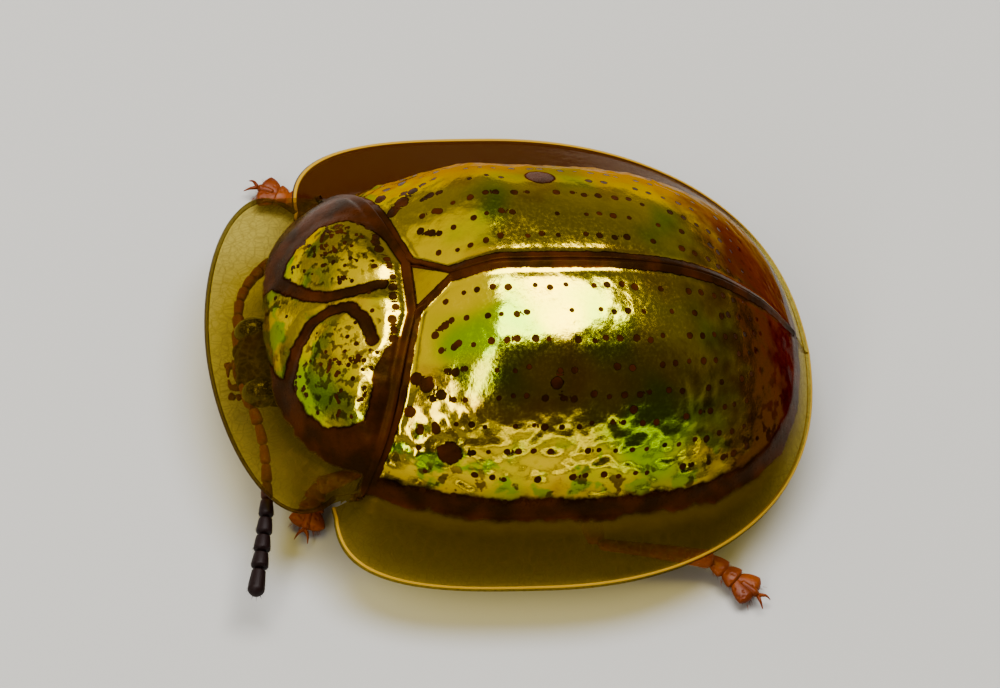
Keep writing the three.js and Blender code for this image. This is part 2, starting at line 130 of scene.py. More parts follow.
# crinkles of the dome: height at the top, height low on the flank, lumps per millimetre and seed
CRINKLES = [(0.014, 0.014, 1.5, 0), (0.005, 0.02, 4.5, 7), (0.0015, 0.014, 10, 0)]
FLANK_HIGH = 2.3  # the crinkles grow from this height down
FLANK_LOW = 1.5
FLANK_TAIL_Y = 2.1  # and fade towards the tail
FLANK_TAIL_FADE = 0.7
FOOT_FADE = 0.3  # crinkles and pits have their full height this far inside the dome's foot


def lerp(start, end, share):
    return start + (end - start) * share


def clamp01(value):
    return max(0.0, min(1.0, value))


def hump(distance, width):
    """A smooth bump of height 1, as wide as twice the given width."""
    return math.exp(-((distance / width) ** 2))


def relief(distance, waves):
    """Height of the ridges and grooves at a distance from their edge."""
    return sum(height * hump(distance - middle, width) for height, middle, width in waves)


def fall_along(y):
    """How far the dome has fallen along the middle line, as a share of its height."""
    if y > DISC_TOP_Y:
        return ((y - DISC_TOP_Y) / DISC_REAR_LENGTH) ** DISC_REAR_POWER
    ahead = math.hypot(DISC_TOP_Y - y, DISC_FRONT_ROUNDING) - DISC_FRONT_ROUNDING
    return DISC_FRONT_SLOPE * ahead


def side_power(y):
    return DISC_SIDE_POWER - y * (DISC_SIDE_POWER_FRONT if y < 0 else DISC_SIDE_POWER_REAR)


def dome_height(x, y):
    side = (abs(x) / DISC_HALF_WIDTH) ** side_power(y)
    share = max(1 - side - fall_along(y), 0)
    return DISC_FOOT_Z + (DISC_TOP_Z - DISC_FOOT_Z) * share


def quarter(turn, middle_x, half_width, wide_y, end_y, power):
    """A quarter of a superellipse, from its widest point round to its end."""
    across = max(math.cos(turn), 0) ** (2 / power)
    along = max(math.sin(turn), 0) ** (2 / power)
    return lerp(middle_x, half_width, across), lerp(wide_y, end_y, along)


def case_edge(share):
    turn = lerp(-math.pi / 2, math.pi / 2, share)
    if turn < 0:
        return quarter(-turn, CASE_CORNER_X, CASE_HALF_WIDTH, 0, CASE_FRONT_Y, CASE_FRONT_POWER)
    return quarter(turn, 0, CASE_HALF_WIDTH, 0, CASE_TAIL_Y, CASE_REAR_POWER)


def disc_edge(share):
    y = lerp(JOINT_SIDE[1], DISC_END_Y, math.sin(share * math.pi / 2))
    return DISC_HALF_WIDTH * max(1 - fall_along(y), 0) ** (1 / side_power(y)), y


def point_at_length(points, lengths, length):
    low, high = 0, len(lengths) - 1
    while low < high - 1:
        middle = (low + high) // 2
        if lengths[middle] <= length:
            low = middle
        else:
            high = middle
    share = clamp01((length - lengths[low]) / max(lengths[high] - lengths[low], 1e-9))
    return tuple(lerp(a, b, share) for a, b in zip(points[low], points[high]))


def lengths_along(points):
    """The length up to each point of a line of points."""
    lengths = [0.0]
    for a, b in zip(points, points[1:]):
        lengths.append(lengths[-1] + math.dist(a, b))
    return lengths


def evenly(curve, steps=200):
    """The same curve, but with its share counted by length."""
    points = [curve(i / steps) for i in range(steps + 1)]
    lengths = lengths_along(points)
    return lambda share: point_at_length(points, lengths, share * lengths[-1])


even_case_edge = evenly(case_edge)
even_disc_edge = evenly(disc_edge)


def suture_x(y):
    share = clamp01((PLATE_TIP_Y - y) / (PLATE_TIP_Y - PLATE_BASE_Y))
    return lerp(SEAM_HALF, PLATE_HALF_WIDTH + SEAM_HALF, share)


@functools.lru_cache(maxsize=None)
def dome_row(along):
    """One line across the dome from the suture to its foot, and the length up to each point."""
    y = lerp(PLATE_BASE_Y, SUTURE_END_Y, along)
    foot = even_disc_edge(along)
    foot = (max(foot[0], SEAM_HALF), foot[1])
    points = []
    for i in range(DOME_STEPS + 1):
        share = i / DOME_STEPS
        x = lerp(suture_x(y), foot[0], share)
        bulge = JOINT_BULGE * math.sin(math.pi * share * share) * (1 - along) ** JOINT_BULGE_FADE
        there = lerp(y, foot[1], share) + bulge
        points.append((x, there, dome_height(x, there)))
    return points, lengths_along(points)


def dome_point(across, along):
    points, lengths = dome_row(along)
    return point_at_length(points, lengths, across * lengths[-1])


def case_point(u, v):
    """A point of a left wing-case's upper side: u from suture to edge, v from shield to tail."""
    if u <= CASE_DISC_SHARE:
        return Vector(dome_point(u / CASE_DISC_SHARE, v))
    share = (u - CASE_DISC_SHARE) / (1 - CASE_DISC_SHARE)
    foot = dome_point(1.0, v)
    edge = even_case_edge(v)
    x = max(lerp(foot[0], edge[0], share), SEAM_HALF)
    return Vector((x, lerp(foot[1], edge[1], share), lerp(foot[2], CASE_EDGE_Z, share)))


def shell_mesh():
    """An empty mesh that can note, for each point of a shell plate, where it lies on the plate."""
    bm = bmesh.new()
    for name in ("seams", "pit_offset"):
        bm.verts.layers.float_vector.new(name)
    for name in ("inside", "pit_reach", "field"):
        bm.verts.layers.float.new(name)
    return bm


def bent_grid(bm, columns, rows, place):
    """A grid bent into shape by place(u, v). Returns its vertices as lists, one for each column."""
    made = bmesh.ops.create_grid(bm, x_segments=columns, y_segments=rows, size=0.5)
    grid = [[None] * (rows + 1) for _ in range(columns + 1)]
    for vert in made["verts"]:
        i = round((vert.co.x + 0.5) * columns)
        j = round((vert.co.y + 0.5) * rows)
        grid[i][j] = vert
        vert.co = place(i / columns, j / rows)
    return grid


def smooth_crease(bm, lines, foot):
    """Rounds the crease where the dome's foot meets the margin, on each line that crosses it."""
    near = range(foot - CREASE_REACH, foot + CREASE_REACH + 1)
    crease = [line[k] for line in lines for k in near]
    for _ in range(CREASE_PASSES):
        bmesh.ops.smooth_vert(bm, verts=crease, factor=SMOOTHING, use_axis_z=True)


def case_pits(rng, side):
    """Centres and radii of the pits on a wing-case, drawn as a left one."""
    pits = []
    for row in range(1, PIT_ROWS + 1):
        across = row / (PIT_ROWS + PIT_FOOT_ROOM)
        line = [dome_point(across, i / ROW_SAMPLES) for i in range(ROW_SAMPLES + 1)]
        count = int(lengths_along(line)[-1] / PIT_SPACING)
        for k in range(1, count):
            along = (k + PIT_STAGGER * (row % 2)) / count
            if rng.random() < PIT_MISSING or along < PIT_FIRST:
                continue
            shift = clamp01(across + rng.uniform(-1, 1) * PIT_SHIFT_ACROSS)
            place = clamp01(along + rng.uniform(-PIT_SHIFT_ALONG, PIT_SHIFT_ALONG))
            size = PIT_RADIUS * rng.uniform(*PIT_SIZES) * (1 if along < PIT_TAIL else PIT_TAIL_SIZE)
            pits.append((Vector(dome_point(shift, place)), size))
    for x, y, size in SHOULDER_PITS + SPOTS[side]:
        pits.append((Vector((x, y, dome_height(x, y))), size))
    return pits


def mark_pits(bm, pits):
    """Notes each point's place within its nearest pit, and returns how deep the pits are there."""
    offset = bm.verts.layers.float_vector["pit_offset"]
    reach = bm.verts.layers.float["pit_reach"]
    tree = kdtree.KDTree(len(pits))
    for k, (centre, _) in enumerate(pits):
        tree.insert(centre, k)
    tree.balance()
    sink = {}
    for vert in bm.verts:
        best = None
        for centre, k, distance in tree.find_n(vert.co, PITS_NEAR):
            size = pits[k][1]
            if best is None or distance / size < best[0]:
                best = (distance / size, (vert.co - centre) / size, size)
        vert[offset] = best[1]
        vert[reach] = best[0]
        inside = 1 - (best[0] / PIT_HOLLOW) ** 2
        sink[vert] = PIT_DEPTH * inside**2 if inside > 0 and best[2] < PIT_SPOT else 0
    return sink


def wing_case(side):
    """One wing-case, drawn as a left one. side is 1 for the left and -1 for the right."""
    bm = shell_mesh()
    grid = bent_grid(bm, CASE_COLUMNS, CASE_ROWS, case_point)
    rows = list(zip(*grid))
    foot = round(CASE_DISC_SHARE * CASE_COLUMNS)
    smooth_crease(bm, rows[1:-1], foot)
    bm.normal_update()
    seams = bm.verts.layers.float_vector["seams"]
    inside = bm.verts.layers.float["inside"]
    field = bm.verts.layers.float["field"]
    across = [lengths_along([vert.co for vert in row]) for row in rows]
    along = [lengths_along([vert.co for vert in column]) for column in grid]
    for i, column in enumerate(grid):
        for j, vert in enumerate(column):
            vert[seams] = (across[j][i], along[i][j], across[j][-1] - across[j][i])
            vert[inside] = across[j][foot] - across[j][i]
    sink = mark_pits(bm, case_pits(random.Random(CASE_SEED), side))
    x, y, size = SOFT_SPOT[side]
    spot = Vector((x, y, dome_height(x, y)))
    for vert in bm.verts:
        suture, front, rim = vert[seams]
        vert[field] = (vert.co - spot).length / size
        low = clamp01((FLANK_HIGH - vert.co.z) / (FLANK_HIGH - FLANK_LOW))
        low *= clamp01((FLANK_TAIL_Y - vert.co.y) / FLANK_TAIL_FADE)
        lift = relief(suture, SUTURE_RELIEF) + relief(front, FRONT_RELIEF) + relief(rim, RIM_RELIEF)
        lift -= SUTURE_ROOF * (1 - math.exp(-suture / SUTURE_ROOF_WIDTH))
        crinkle = -sink[vert]
        for top, flank, scale, seed in CRINKLES:
            crinkle += lerp(top, flank, low) * noise.noise(vert.co * scale + Vector((seed, 0, 0)))
        lift += crinkle * clamp01(vert[inside] / FOOT_FADE)
        vert.co += vert.normal * lift
        vert.co.x = max(vert.co.x, SEAM_HALF)
    if side < 0:
        bmesh.ops.scale(bm, vec=(-1, 1, 1), verts=bm.verts)
        bmesh.ops.reverse_faces(bm, faces=bm.faces)
    return bm


def finished(bm, name, surface, nodes, thickness=0.0):
    """Makes the piece from its bmesh, in metres, hangs it on the root body and hides the model's parts
    named in nodes.
    """
    bmesh.ops.scale(bm, vec=(MM, MM, MM), verts=bm.verts)
    for face in bm.faces:
        face.smooth = True
    mesh = bpy.data.meshes.new(name)
    bm.to_mesh(mesh)
    bm.free()
    mesh.materials.append(surface)
    piece = bpy.data.objects.new(name, mesh)
    bpy.context.scene.collection.objects.link(piece)
    if thickness:
        wall = piece.modifiers.new("wall", "SOLIDIFY")
        wall.thickness = thickness * MM
        wall.offset = -1
    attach(piece, "root")
    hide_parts(*nodes)


def shade(hex_colour):
    """A colour given as sRGB hex, as linear red, green, blue and alpha."""
    parts = [int(hex_colour[i : i + 2], 16) / 255 for i in (1, 3, 5)]
    linear = [c / 12.92 if c <= 0.04045 else ((c + 0.055) / 1.055) ** 2.4 for c in parts]
    return (*linear, 1.0)


# Living mirror chitin: a metal-bright stack of thin layers under clear cuticle. It gives sharp gold
# reflections that lean to green in places, greener low on the flank as a painted reflection of green
# leaves, dark red-brown pits, and brown pigment at every edge.
GOLD = shade("#DDC23E")
GOLD_GREEN = shade("#8FAE22")
GOLD_OLIVE = shade("#C29A3A")
GOLD_COPPER = shade("#64400F")
GLANCING_GOLD = shade("#D8A850")
PIGMENT = shade("#2A1606")
PIGMENT_RED = shade("#4A240A")
CLEAR_TINT = shade("#EBE2A8")
CLEAR_BODY = shade("#5E4A0E")
RIM_YELLOW = shade("#C9A040")
# painted shade: the darker red-brown of the right margin, which lies in shade
SHADE_BROWN = shade("#451D05")
CHITIN_SPECULAR = 0.2
MARGIN_ROUGHNESS = 0.14
PIGMENT_ROUGHNESS = 0.15  # pigmented cuticle is this much duller than the mirror
DIMPLES = (9.0, 4.0)  # lumps per millimetre and detail of the cuticle's unevenness
DIMPLE_DEPTH = 0.006
DIMPLE_STRENGTH = 0.8

SMOOTH = {"interpolation_type": "SMOOTHSTEP"}
# mottling: lumps per millimetre, detail and seed of the noise, then the noise's two ends and the
# strength at both
GREEN_CLOUDS = ((0.9, 2.0, 3.0), (0.45, 0.7, 0.0, 1.0))
OLIVE_CLOUDS = ((1.6, 3.0, 9.0), (0.5, 0.7, 0.0, 0.7))
BROWN_CLOUDS = ((3.0, 4.0, 0.0), (0.35, 0.7, 0.0, 1.0))
# painted reflection: green patches low on the flank, for green leaves seen in the mirror
FLANK_LEAF_REFLECTION = ((3.6, 5.0, 5.0), (0.5, 0.6, 0.0, 1.0))
FLANK_FLECKS = ((6.5, 3.0, 12.0), (0.54, 0.62, 0.0, 0.32))
MIRROR_GRAIN = ((30.0, 4.0, 0.0), (0.3, 0.8, 0.12, 0.24))
# wobbles of a coloured border: lumps per millimetre and reach
WAVER = (4.0, 0.16)
FINE_WAVER = (14.0, 0.05)
TAIL_WAVER = 6.0  # the brown tail and the soft spot waver so many times as far
SPOT_WAVER = 3.0
# fades: where each starts and ends, in millimetres, and its strength at both
# painted reflection: the flank's green patches, for green leaves seen in the mirror, grow in below this
# height
LEAF_REFLECTION_BELOW = (1.5, 2.0, 1.0, 0.0)
FLECKS_BELOW = (1.35, 1.75, 1.0, 0.0)
SEAM_BROWN = (0.07, 0.11, 1.0, 0.0)
FOOT_BROWN = (0.12, 0.3, 0.95, 0.0)
TAIL_BROWN = (2.5, 3.1, 0.0, 0.7)
TAIL_PITS = (2.1, 2.6, 1.0, 0.0)
TAIL_COPPER = (1.3, 2.3, 0.0, 1.0)
FOOT_COPPER = (0.2, 0.6, 0.5, 0.0)
RIM_LINE_INNER = (0.02, 0.03, 0.0, 1.0)
RIM_LINE_OUTER = (0.05, 0.065, 1.0, 0.0)
# painted shade: the clear margin just outside the dome's foot is veiled dark olive, for the shadow of
# the dome and body beneath
FOOT_SHADE_VEIL = (-0.35, 0.0, 0.0, 0.6)
RIGHT_PAINTED_SHADE = (-1.9, -0.9, 1.0, 0.0)  # painted shade: the right margin is darkened to red-brown for the far side in shade, as in the photo
DISC_GOLD = (-0.06, 0.0, 0.0, 1.0)
# the same, counted in radii of the spot or pit
SPOT_BROWN = (0.8, 1.1, 0.85, 0.0)
PIT_FLOOR = (1.05, 1.35, 1.0, 0.0)
PIT_GUARD = (1.4, 1.55, 1.0, 0.0)
PIT_LUMPS = 22.0
PIT_RAGGED = 0.5
# the same, as shares of pigment
BROWN_COLOUR = (0.0, 0.45, 0.0, 1.0)
MIRROR_LOSS = (0.35, 1.0, 1.0, 0.0)
# honeycomb of the clear margin
CELLS_PER_MM = 11.0
CELL_STRETCH = (1, 1, 0.3)
CELL_WALL = (0.02, 0.12, 1.0, 0.0)
CELL_VEIL = 0.12
CASE_VEIL = 0.14  # how much of what lies behind the clear margin is hidden
LINE_VEIL = 0.6
# painted shade: how much of what lies behind the darker red-brown right margin is hidden
SHADE_VEIL = 0.8


def add(tree, kind, inputs=(), output=None, **settings):
    """Adds a node with its settings and links, and returns the output named, or the first in use.
    inputs fill the sockets in use in their order, or by name: each is a value or another's output."""
    node = tree.nodes.new("ShaderNode" + kind)
    for name, value in settings.items():
        setattr(node, name, value)
    if isinstance(inputs, dict):
        filled = [(node.inputs[name], value) for name, value in inputs.items()]
    else:
        filled = list(zip([socket for socket in node.inputs if socket.enabled], inputs))
    for socket, value in filled:
        if isinstance(value, bpy.types.NodeSocket):
            tree.links.new(value, socket)
        else:
            socket.default_value = value
    if output:
        return node.outputs[output]
    return next((socket for socket in node.outputs if socket.enabled), None)


def material(name):
    made = bpy.data.materials.new(name)
    made.use_nodes = True
    made.node_tree.nodes.clear()
    return made, made.node_tree


def in_millimetres(tree, seed=0.0, stretch=(1, 1, 1)):
    """The piece's own coordinates in millimetres, moved by seed so that patterns differ."""
    place = add(tree, "TexCoord", output="Object")
    scale = [each / MM for each in stretch]
    return add(tree, "Mapping", {"Vector": place, "Location": (seed, seed, 0), "Scale": scale})


def axis(tree, name):
    """How far a point lies along one axis, in millimetres."""
    return add(tree, "SeparateXYZ", (in_millimetres(tree),), name)


def speckle(tree, scale, detail=3.0, seed=0.0):
    """Noise between 0 and 1, with its scale in lumps per millimetre."""
    place = in_millimetres(tree, seed)
    return add(tree, "TexNoise", {"Vector": place, "Scale": scale, "Detail": detail})


def mottle(tree, lumps, fade):
    """Soft patches where the noise is strong."""
    return add(tree, "MapRange", (speckle(tree, *lumps), *fade), **SMOOTH)


def wobble(tree, scale, reach):
    """An unevenness of half the reach to either side."""
    return add(tree, "Math", (speckle(tree, scale), reach, -reach / 2), operation="MULTIPLY_ADD")


def strongest(tree, layers):
    """The highest of several layers at each point."""
    return functools.reduce(lambda a, b: add(tree, "Math", (a, b), operation="MAXIMUM"), layers)


def seam_distances(tree):
    """How far a point lies from the three edges of its plate."""
    seams = add(tree, "Attribute", output="Vector", attribute_name="seams")
    return add(tree, "SeparateXYZ", (seams,)).node.outputs


def mirror_inputs(tree, pigment, warm):
    """Gold where pigment is 0, dark brown where it is 1, and copper where warm is 1."""
    # painted reflection: green patches low on the flank stand for green leaves seen in the mirror, over
    # the gold's own green clouds
    low_down = add(tree, "MapRange", (axis(tree, "Z"), *LEAF_REFLECTION_BELOW), **SMOOTH)
    patches = add(tree, "Math", (mottle(tree, *FLANK_LEAF_REFLECTION), low_down), operation="MULTIPLY")
    green = strongest(tree, [mottle(tree, *GREEN_CLOUDS), patches])
    gold = add(tree, "Mix", (mottle(tree, *OLIVE_CLOUDS), GOLD, GOLD_OLIVE), data_type="RGBA")
    gold = add(tree, "Mix", (green, gold, GOLD_GREEN), data_type="RGBA")
    gold = add(tree, "Mix", (warm, gold, GOLD_COPPER), data_type="RGBA")
    brown = add(tree, "Mix", (mottle(tree, *BROWN_CLOUDS), PIGMENT, PIGMENT_RED), data_type="RGBA")
    covered = add(tree, "MapRange", (pigment, *BROWN_COLOUR), **SMOOTH)
    dull = (pigment, PIGMENT_ROUGHNESS, mottle(tree, *MIRROR_GRAIN))
    height = speckle(tree, *DIMPLES)
    dimples = {"Height": height, "Distance": DIMPLE_DEPTH * MM, "Strength": DIMPLE_STRENGTH}
    return {
        "Base Color": add(tree, "Mix", (covered, gold, brown), data_type="RGBA"),
        "Metallic": add(tree, "MapRange", (pigment, *MIRROR_LOSS), **SMOOTH),
        "Roughness": add(tree, "Math", dull, operation="MULTIPLY_ADD"),
        "Normal": add(tree, "Bump", dimples),
        "Specular IOR Level": CHITIN_SPECULAR,
        "Specular Tint": GLANCING_GOLD,
    }


def coated(tree, inputs):
    """Covers the material with one skin."""
    add(tree, "OutputMaterial", (add(tree, "BsdfPrincipled", inputs),))


def margin_and_disc(tree, disc, gold, body, veil):
    """The disc's gold where disc is 1. Elsewhere clear amber, which hides veil of what is behind."""
    gold["Base Color"] = add(tree, "Mix", (disc, body, gold["Base Color"]), data_type="RGBA")
    gold["Metallic"] = add(tree, "Math", (disc, gold["Metallic"]), operation="MULTIPLY")
    gold["Roughness"] = add(tree, "Mix", (disc, MARGIN_ROUGHNESS, gold["Roughness"]), data_type="FLOAT")
    skin = add(tree, "BsdfPrincipled", gold)
    through = add(tree, "BsdfTransparent", (CLEAR_TINT,))
    surface = add(tree, "MixShader", (strongest(tree, [veil, disc]), through, skin))
    add(tree, "OutputMaterial", (surface,))


def cell_veil(tree, base):
    """The honeycomb of tiny pillars inside a clear margin, about 0.09 mm from one to the next."""
    place = in_millimetres(tree, stretch=CELL_STRETCH)
    web = add(tree, "TexVoronoi", {"Vector": place, "Scale": CELLS_PER_MM}, feature="DISTANCE_TO_EDGE")
    walls = add(tree, "MapRange", (web, *CELL_WALL), **SMOOTH)
    return add(tree, "Math", (walls, CELL_VEIL, base), operation="MULTIPLY_ADD")


def pit_mask(tree):
    """1 on the dark floor of a pit."""
    offset = add(tree, "Attribute", output="Vector", attribute_name="pit_offset")
    length = add(tree, "VectorMath", (offset,), operation="LENGTH")
    ragged = add(tree, "Math", (speckle(tree, PIT_LUMPS), PIT_RAGGED, length), operation="MULTIPLY_ADD")
    dark = add(tree, "MapRange", (ragged, *PIT_FLOOR), **SMOOTH)
    reach = add(tree, "Attribute", output="Fac", attribute_name="pit_reach")
    near = add(tree, "MapRange", (reach, *PIT_GUARD), **SMOOTH)
    return add(tree, "Math", (dark, near), operation="MULTIPLY")


def chitin_mirror():
    made, tree = material("structural_gold_chitin_with_clear_margin")
    suture, front, rim = seam_distances(tree)
    waver = wobble(tree, *WAVER)
    fine = wobble(tree, *FINE_WAVER)
    inside = add(tree, "Attribute", output="Fac", attribute_name="inside")
    edge = add(tree, "Math", (inside, waver), operation="ADD")
    edge = add(tree, "Math", (edge, fine), operation="ADD")
    along = add(tree, "Math", (waver, TAIL_WAVER, axis(tree, "Y")), operation="MULTIPLY_ADD")
    spot = add(tree, "Attribute", output="Fac", attribute_name="field")
    spot = add(tree, "Math", (waver, SPOT_WAVER, spot), operation="MULTIPLY_ADD")
    pitted = add(tree, "MapRange", (along, *TAIL_PITS), **SMOOTH)
    low_down = add(tree, "MapRange", (axis(tree, "Z"), *FLECKS_BELOW), **SMOOTH)
    brown = [
        add(tree, "Math", (pit_mask(tree), pitted), operation="MULTIPLY"),
        add(tree, "Math", (mottle(tree, *FLANK_FLECKS), low_down), operation="MULTIPLY"),
    ]
    for distance in (suture, front):
        ragged = add(tree, "Math", (distance, fine), operation="ADD")
        brown.append(add(tree, "MapRange", (ragged, *SEAM_BROWN), **SMOOTH))
    for distance, fade in ((edge, FOOT_BROWN), (along, TAIL_BROWN), (spot, SPOT_BROWN)):
        brown.append(add(tree, "MapRange", (distance, *fade), **SMOOTH))
    copper = [
        add(tree, "MapRange", (along, *TAIL_COPPER), **SMOOTH),
        add(tree, "MapRange", (edge, *FOOT_COPPER), **SMOOTH),
    ]
    gold = mirror_inputs(tree, strongest(tree, brown), strongest(tree, copper))
    inner = add(tree, "MapRange", (rim, *RIM_LINE_INNER), **SMOOTH)
    outer = add(tree, "MapRange", (rim, *RIM_LINE_OUTER), **SMOOTH)
    line = add(tree, "Math", (inner, outer), operation="MULTIPLY")
    # painted shade: the right margin is veiled and tinted a darker red-brown, as the far side lies in
    # shade
    far_shade = add(tree, "MapRange", (axis(tree, "X"), *RIGHT_PAINTED_SHADE), **SMOOTH)
    veil = strongest(tree, [
        cell_veil(tree, CASE_VEIL),
        add(tree, "Math", (line, LINE_VEIL), operation="MULTIPLY"),
        # painted shade: dark olive veil just outside the dome's foot, for the shadow of the dome and
        # body beneath
        add(tree, "MapRange", (edge, *FOOT_SHADE_VEIL), **SMOOTH),
        add(tree, "Math", (far_shade, SHADE_VEIL), operation="MULTIPLY"),
    ])
    body = add(tree, "Mix", (far_shade, CLEAR_BODY, SHADE_BROWN), data_type="RGBA")
    body = add(tree, "Mix", (line, body, RIM_YELLOW), data_type="RGBA")
    disc = add(tree, "MapRange", (edge, *DISC_GOLD), **SMOOTH)
    margin_and_disc(tree, disc, gold, body, veil)
    return made


CHITIN_MIRROR = chitin_mirror()
finished(wing_case(1), "wing_case_left", CHITIN_MIRROR, ["elytron_left"], CASE_THICKNESS)
finished(wing_case(-1), "wing_case_right", CHITIN_MIRROR, ["elytron_right"], CASE_THICKNESS)


# The small triangular plate between the wing-cases' inner corners. One piece of the same gold chitin,
# slightly domed, with a dark groove round it where the cases fit against it.

PLATE_STEPS = 18
PLATE_LIFT = 0.018
PLATE_SINK = 0.01  # its edge lies this far below the cases
PLATE_OVERLAP = 0.02  # it reaches this far under the shield and between the cases
PLATE_TIP_HALF_WIDTH = 0.02
PLATE_CROWN = 4
PLATE_CROWN_ALONG = 0.3
PLATE_EDGE_LENGTH = 0.4  # its length, as its dark edge is measured
PLATE_EDGE_START = 0.02
PLATE_BROWN = (0.03, 0.07, 1.0, 0.0)
PLATE_LUMPS = 20.0
PLATE_RAGGED = 0.02
PLATE_WARM = 0.3


def plate_point(u, v):
    y = lerp(PLATE_BASE_Y - PLATE_OVERLAP, PLATE_TIP_Y + PLATE_OVERLAP, v)
    half_width = lerp(PLATE_HALF_WIDTH, PLATE_TIP_HALF_WIDTH, v)
    x = lerp(-half_width, half_width, u)
    crown = (1 - (2 * u - 1) ** PLATE_CROWN) * math.sin(math.pi * v) ** PLATE_CROWN_ALONG
    return Vector((x, y, dome_height(x, y) - PLATE_SINK + PLATE_LIFT * crown))


def triangle_plate():
    bm = shell_mesh()
    grid = bent_grid(bm, PLATE_STEPS, PLATE_STEPS, plate_point)
    edge = bm.verts.layers.float["inside"]
    for i, column in enumerate(grid):
        for j, vert in enumerate(column):
            u, v = i / PLATE_STEPS, j / PLATE_STEPS
            width = 2 * lerp(PLATE_HALF_WIDTH, PLATE_TIP_HALF_WIDTH, v)
            vert[edge] = min(min(u, 1 - u) * width, v * PLATE_EDGE_LENGTH + PLATE_EDGE_START)
    return bm


def plate_gold():
    made, tree = material("structural_gold_chitin_plate")
    inside = add(tree, "Attribute", output="Fac", attribute_name="inside")
    ragged = (speckle(tree, PLATE_LUMPS), PLATE_RAGGED, inside)
    edge = add(tree, "Math", ragged, operation="MULTIPLY_ADD")
    pigment = add(tree, "MapRange", (edge, *PLATE_BROWN), **SMOOTH)
    coated(tree, mirror_inputs(tree, pigment, PLATE_WARM))
    return made


finished(triangle_plate(), "scutellum_plate", plate_gold(), ["scutellum"], CASE_THICKNESS)


# The shield over the head. One plate of chitin: a gold disc in three raised fields parted by brown arcs
# that are painted reflections of the surroundings, coarse pits along its hind edge, and a wide clear
# margin that covers the head like a visor.

SHIELD_HALF_WIDTH = 1.93
SHIELD_WIDEST_Y = -2.45
SHIELD_FRONT_Y = -3.25
SHIELD_POWER = 1.9
SHIELD_CORNER_X = 1.62
SHIELD_CORNER_TURN = math.pi / 3
SHIELD_EDGE_Z = 0.84
SHIELD_FOOT_Z = 1.08
SHIELD_DISC_SHARE = 0.73
SHIELD_DISC_SIDE = 0.85
SHIELD_DISC_LEAST = 0.22
SHIELD_DISC_SQUARENESS = 4
SHIELD_DISC_ROUNDING = 0.8
SHIELD_CURVE = 1.9
SHIELD_MARGIN_CURVE = 3
SHIELD_INNER_ROWS = 2 / 3  # share of the rows that lie on the disc
SHIELD_JOINT_SHARE = 0.9
SHIELD_CORNER_SHARE = 0.78  # the foot comes down to the margin from here out
SHIELD_CORNER_Z = 0.87
SHIELD_CORNER_CURVE = 1.5
SHIELD_COLUMNS = 150
SHIELD_ROWS = 96
PLAIN_COLUMNS = 12  # so many columns at each side have no crease to round
CORNER_COLUMNS = 14  # and so many are smoothed as a whole
CORNER_PASSES = 12
SHIELD_SEED = 11
# outline of the shield's gold, across and along, and the two dark arcs that part it in three, painted
# reflections
GOLD_OUTLINE = [
    (-0.55, -2.62), (-0.3, -2.68), (0.0, -2.68), (0.2, -2.65), (0.5, -2.57), (0.62, -2.46),
    (0.8, -2.44), (1.03, -2.36), (1.24, -2.21), (1.32, -2.02), (1.32, -1.85), (1.1, -1.77),
    (0.9, -1.75), (0.7, -1.62), (0.58, -1.5), (0.5, -1.3), (0.3, -1.15), (-0.3, -1.15),
    (-0.5, -1.38), (-0.75, -1.54), (-0.98, -1.78), (-1.02, -2.05), (-0.9, -2.27), (-0.76, -2.38),
    (-0.6, -2.44), (-0.56, -2.52),
]
REFLECTION_ARCS = [
    [(-0.62, -2.5), (-0.42, -2.38), (-0.23, -2.24), (-0.1, -2.07), (-0.06, -1.84), (-0.06, -1.56)],
    [(0.56, -1.72), (0.3, -1.78), (0.1, -1.9), (0.06, -2.06), (0.1, -2.24), (0.3, -2.4), (0.6, -2.5)],
]
ARC_HALF_WIDTH = 0.055
# coarse pits along the hind edge: so many each way from the middle, then place and size
HIND_PITS = 9
HIND_PIT_SPACING = 0.115
HIND_PIT_SHIFT = 0.02
HIND_PIT_ALONG = (0.085, 0.11)
HIND_PIT_RADIUS = 0.042
HIND_PIT_SIZES = (0.8, 1.25)
# fine pits of the two side fields
FIELD_PITS = 150
FIELD_PIT_X = 0.66
FIELD_PIT_SPREAD = 0.26
FIELD_PIT_ALONG = (0.14, 0.6)
FIELD_PIT_RADIUS = 0.021
FIELD_PIT_SIZES = (0.7, 1.3)
# relief: ridge and groove at the hind edge, the raised fields and the unevenness
HIND_RELIEF = [(0.02, 0.0, 0.05), (-0.014, 0.11, 0.04)]
FIELD_SWELL = 0.045
FIELD_SLOPE = 0.25  # width of a field's raised edge
FIELD_HIND = 0.1  # the fields rise from this far off the hind edge
FIELD_HIND_FADE = 0.2
SHIELD_CRINKLE = 0.012
SHIELD_CRINKLE_LUMPS = 3
SHIELD_FOOT_FADE = 0.2
SHORT_LINE = 0.25  # where the plate is shorter than this it has no relief
SHORT_LINE_FADE = 0.5
# patterns and fades of the shield's colours, as for the wing-cases
SHIELD_WAVER = (5.0, 0.16)
HIND_BROWN = (0.07, 0.12, 1.0, 0.0)
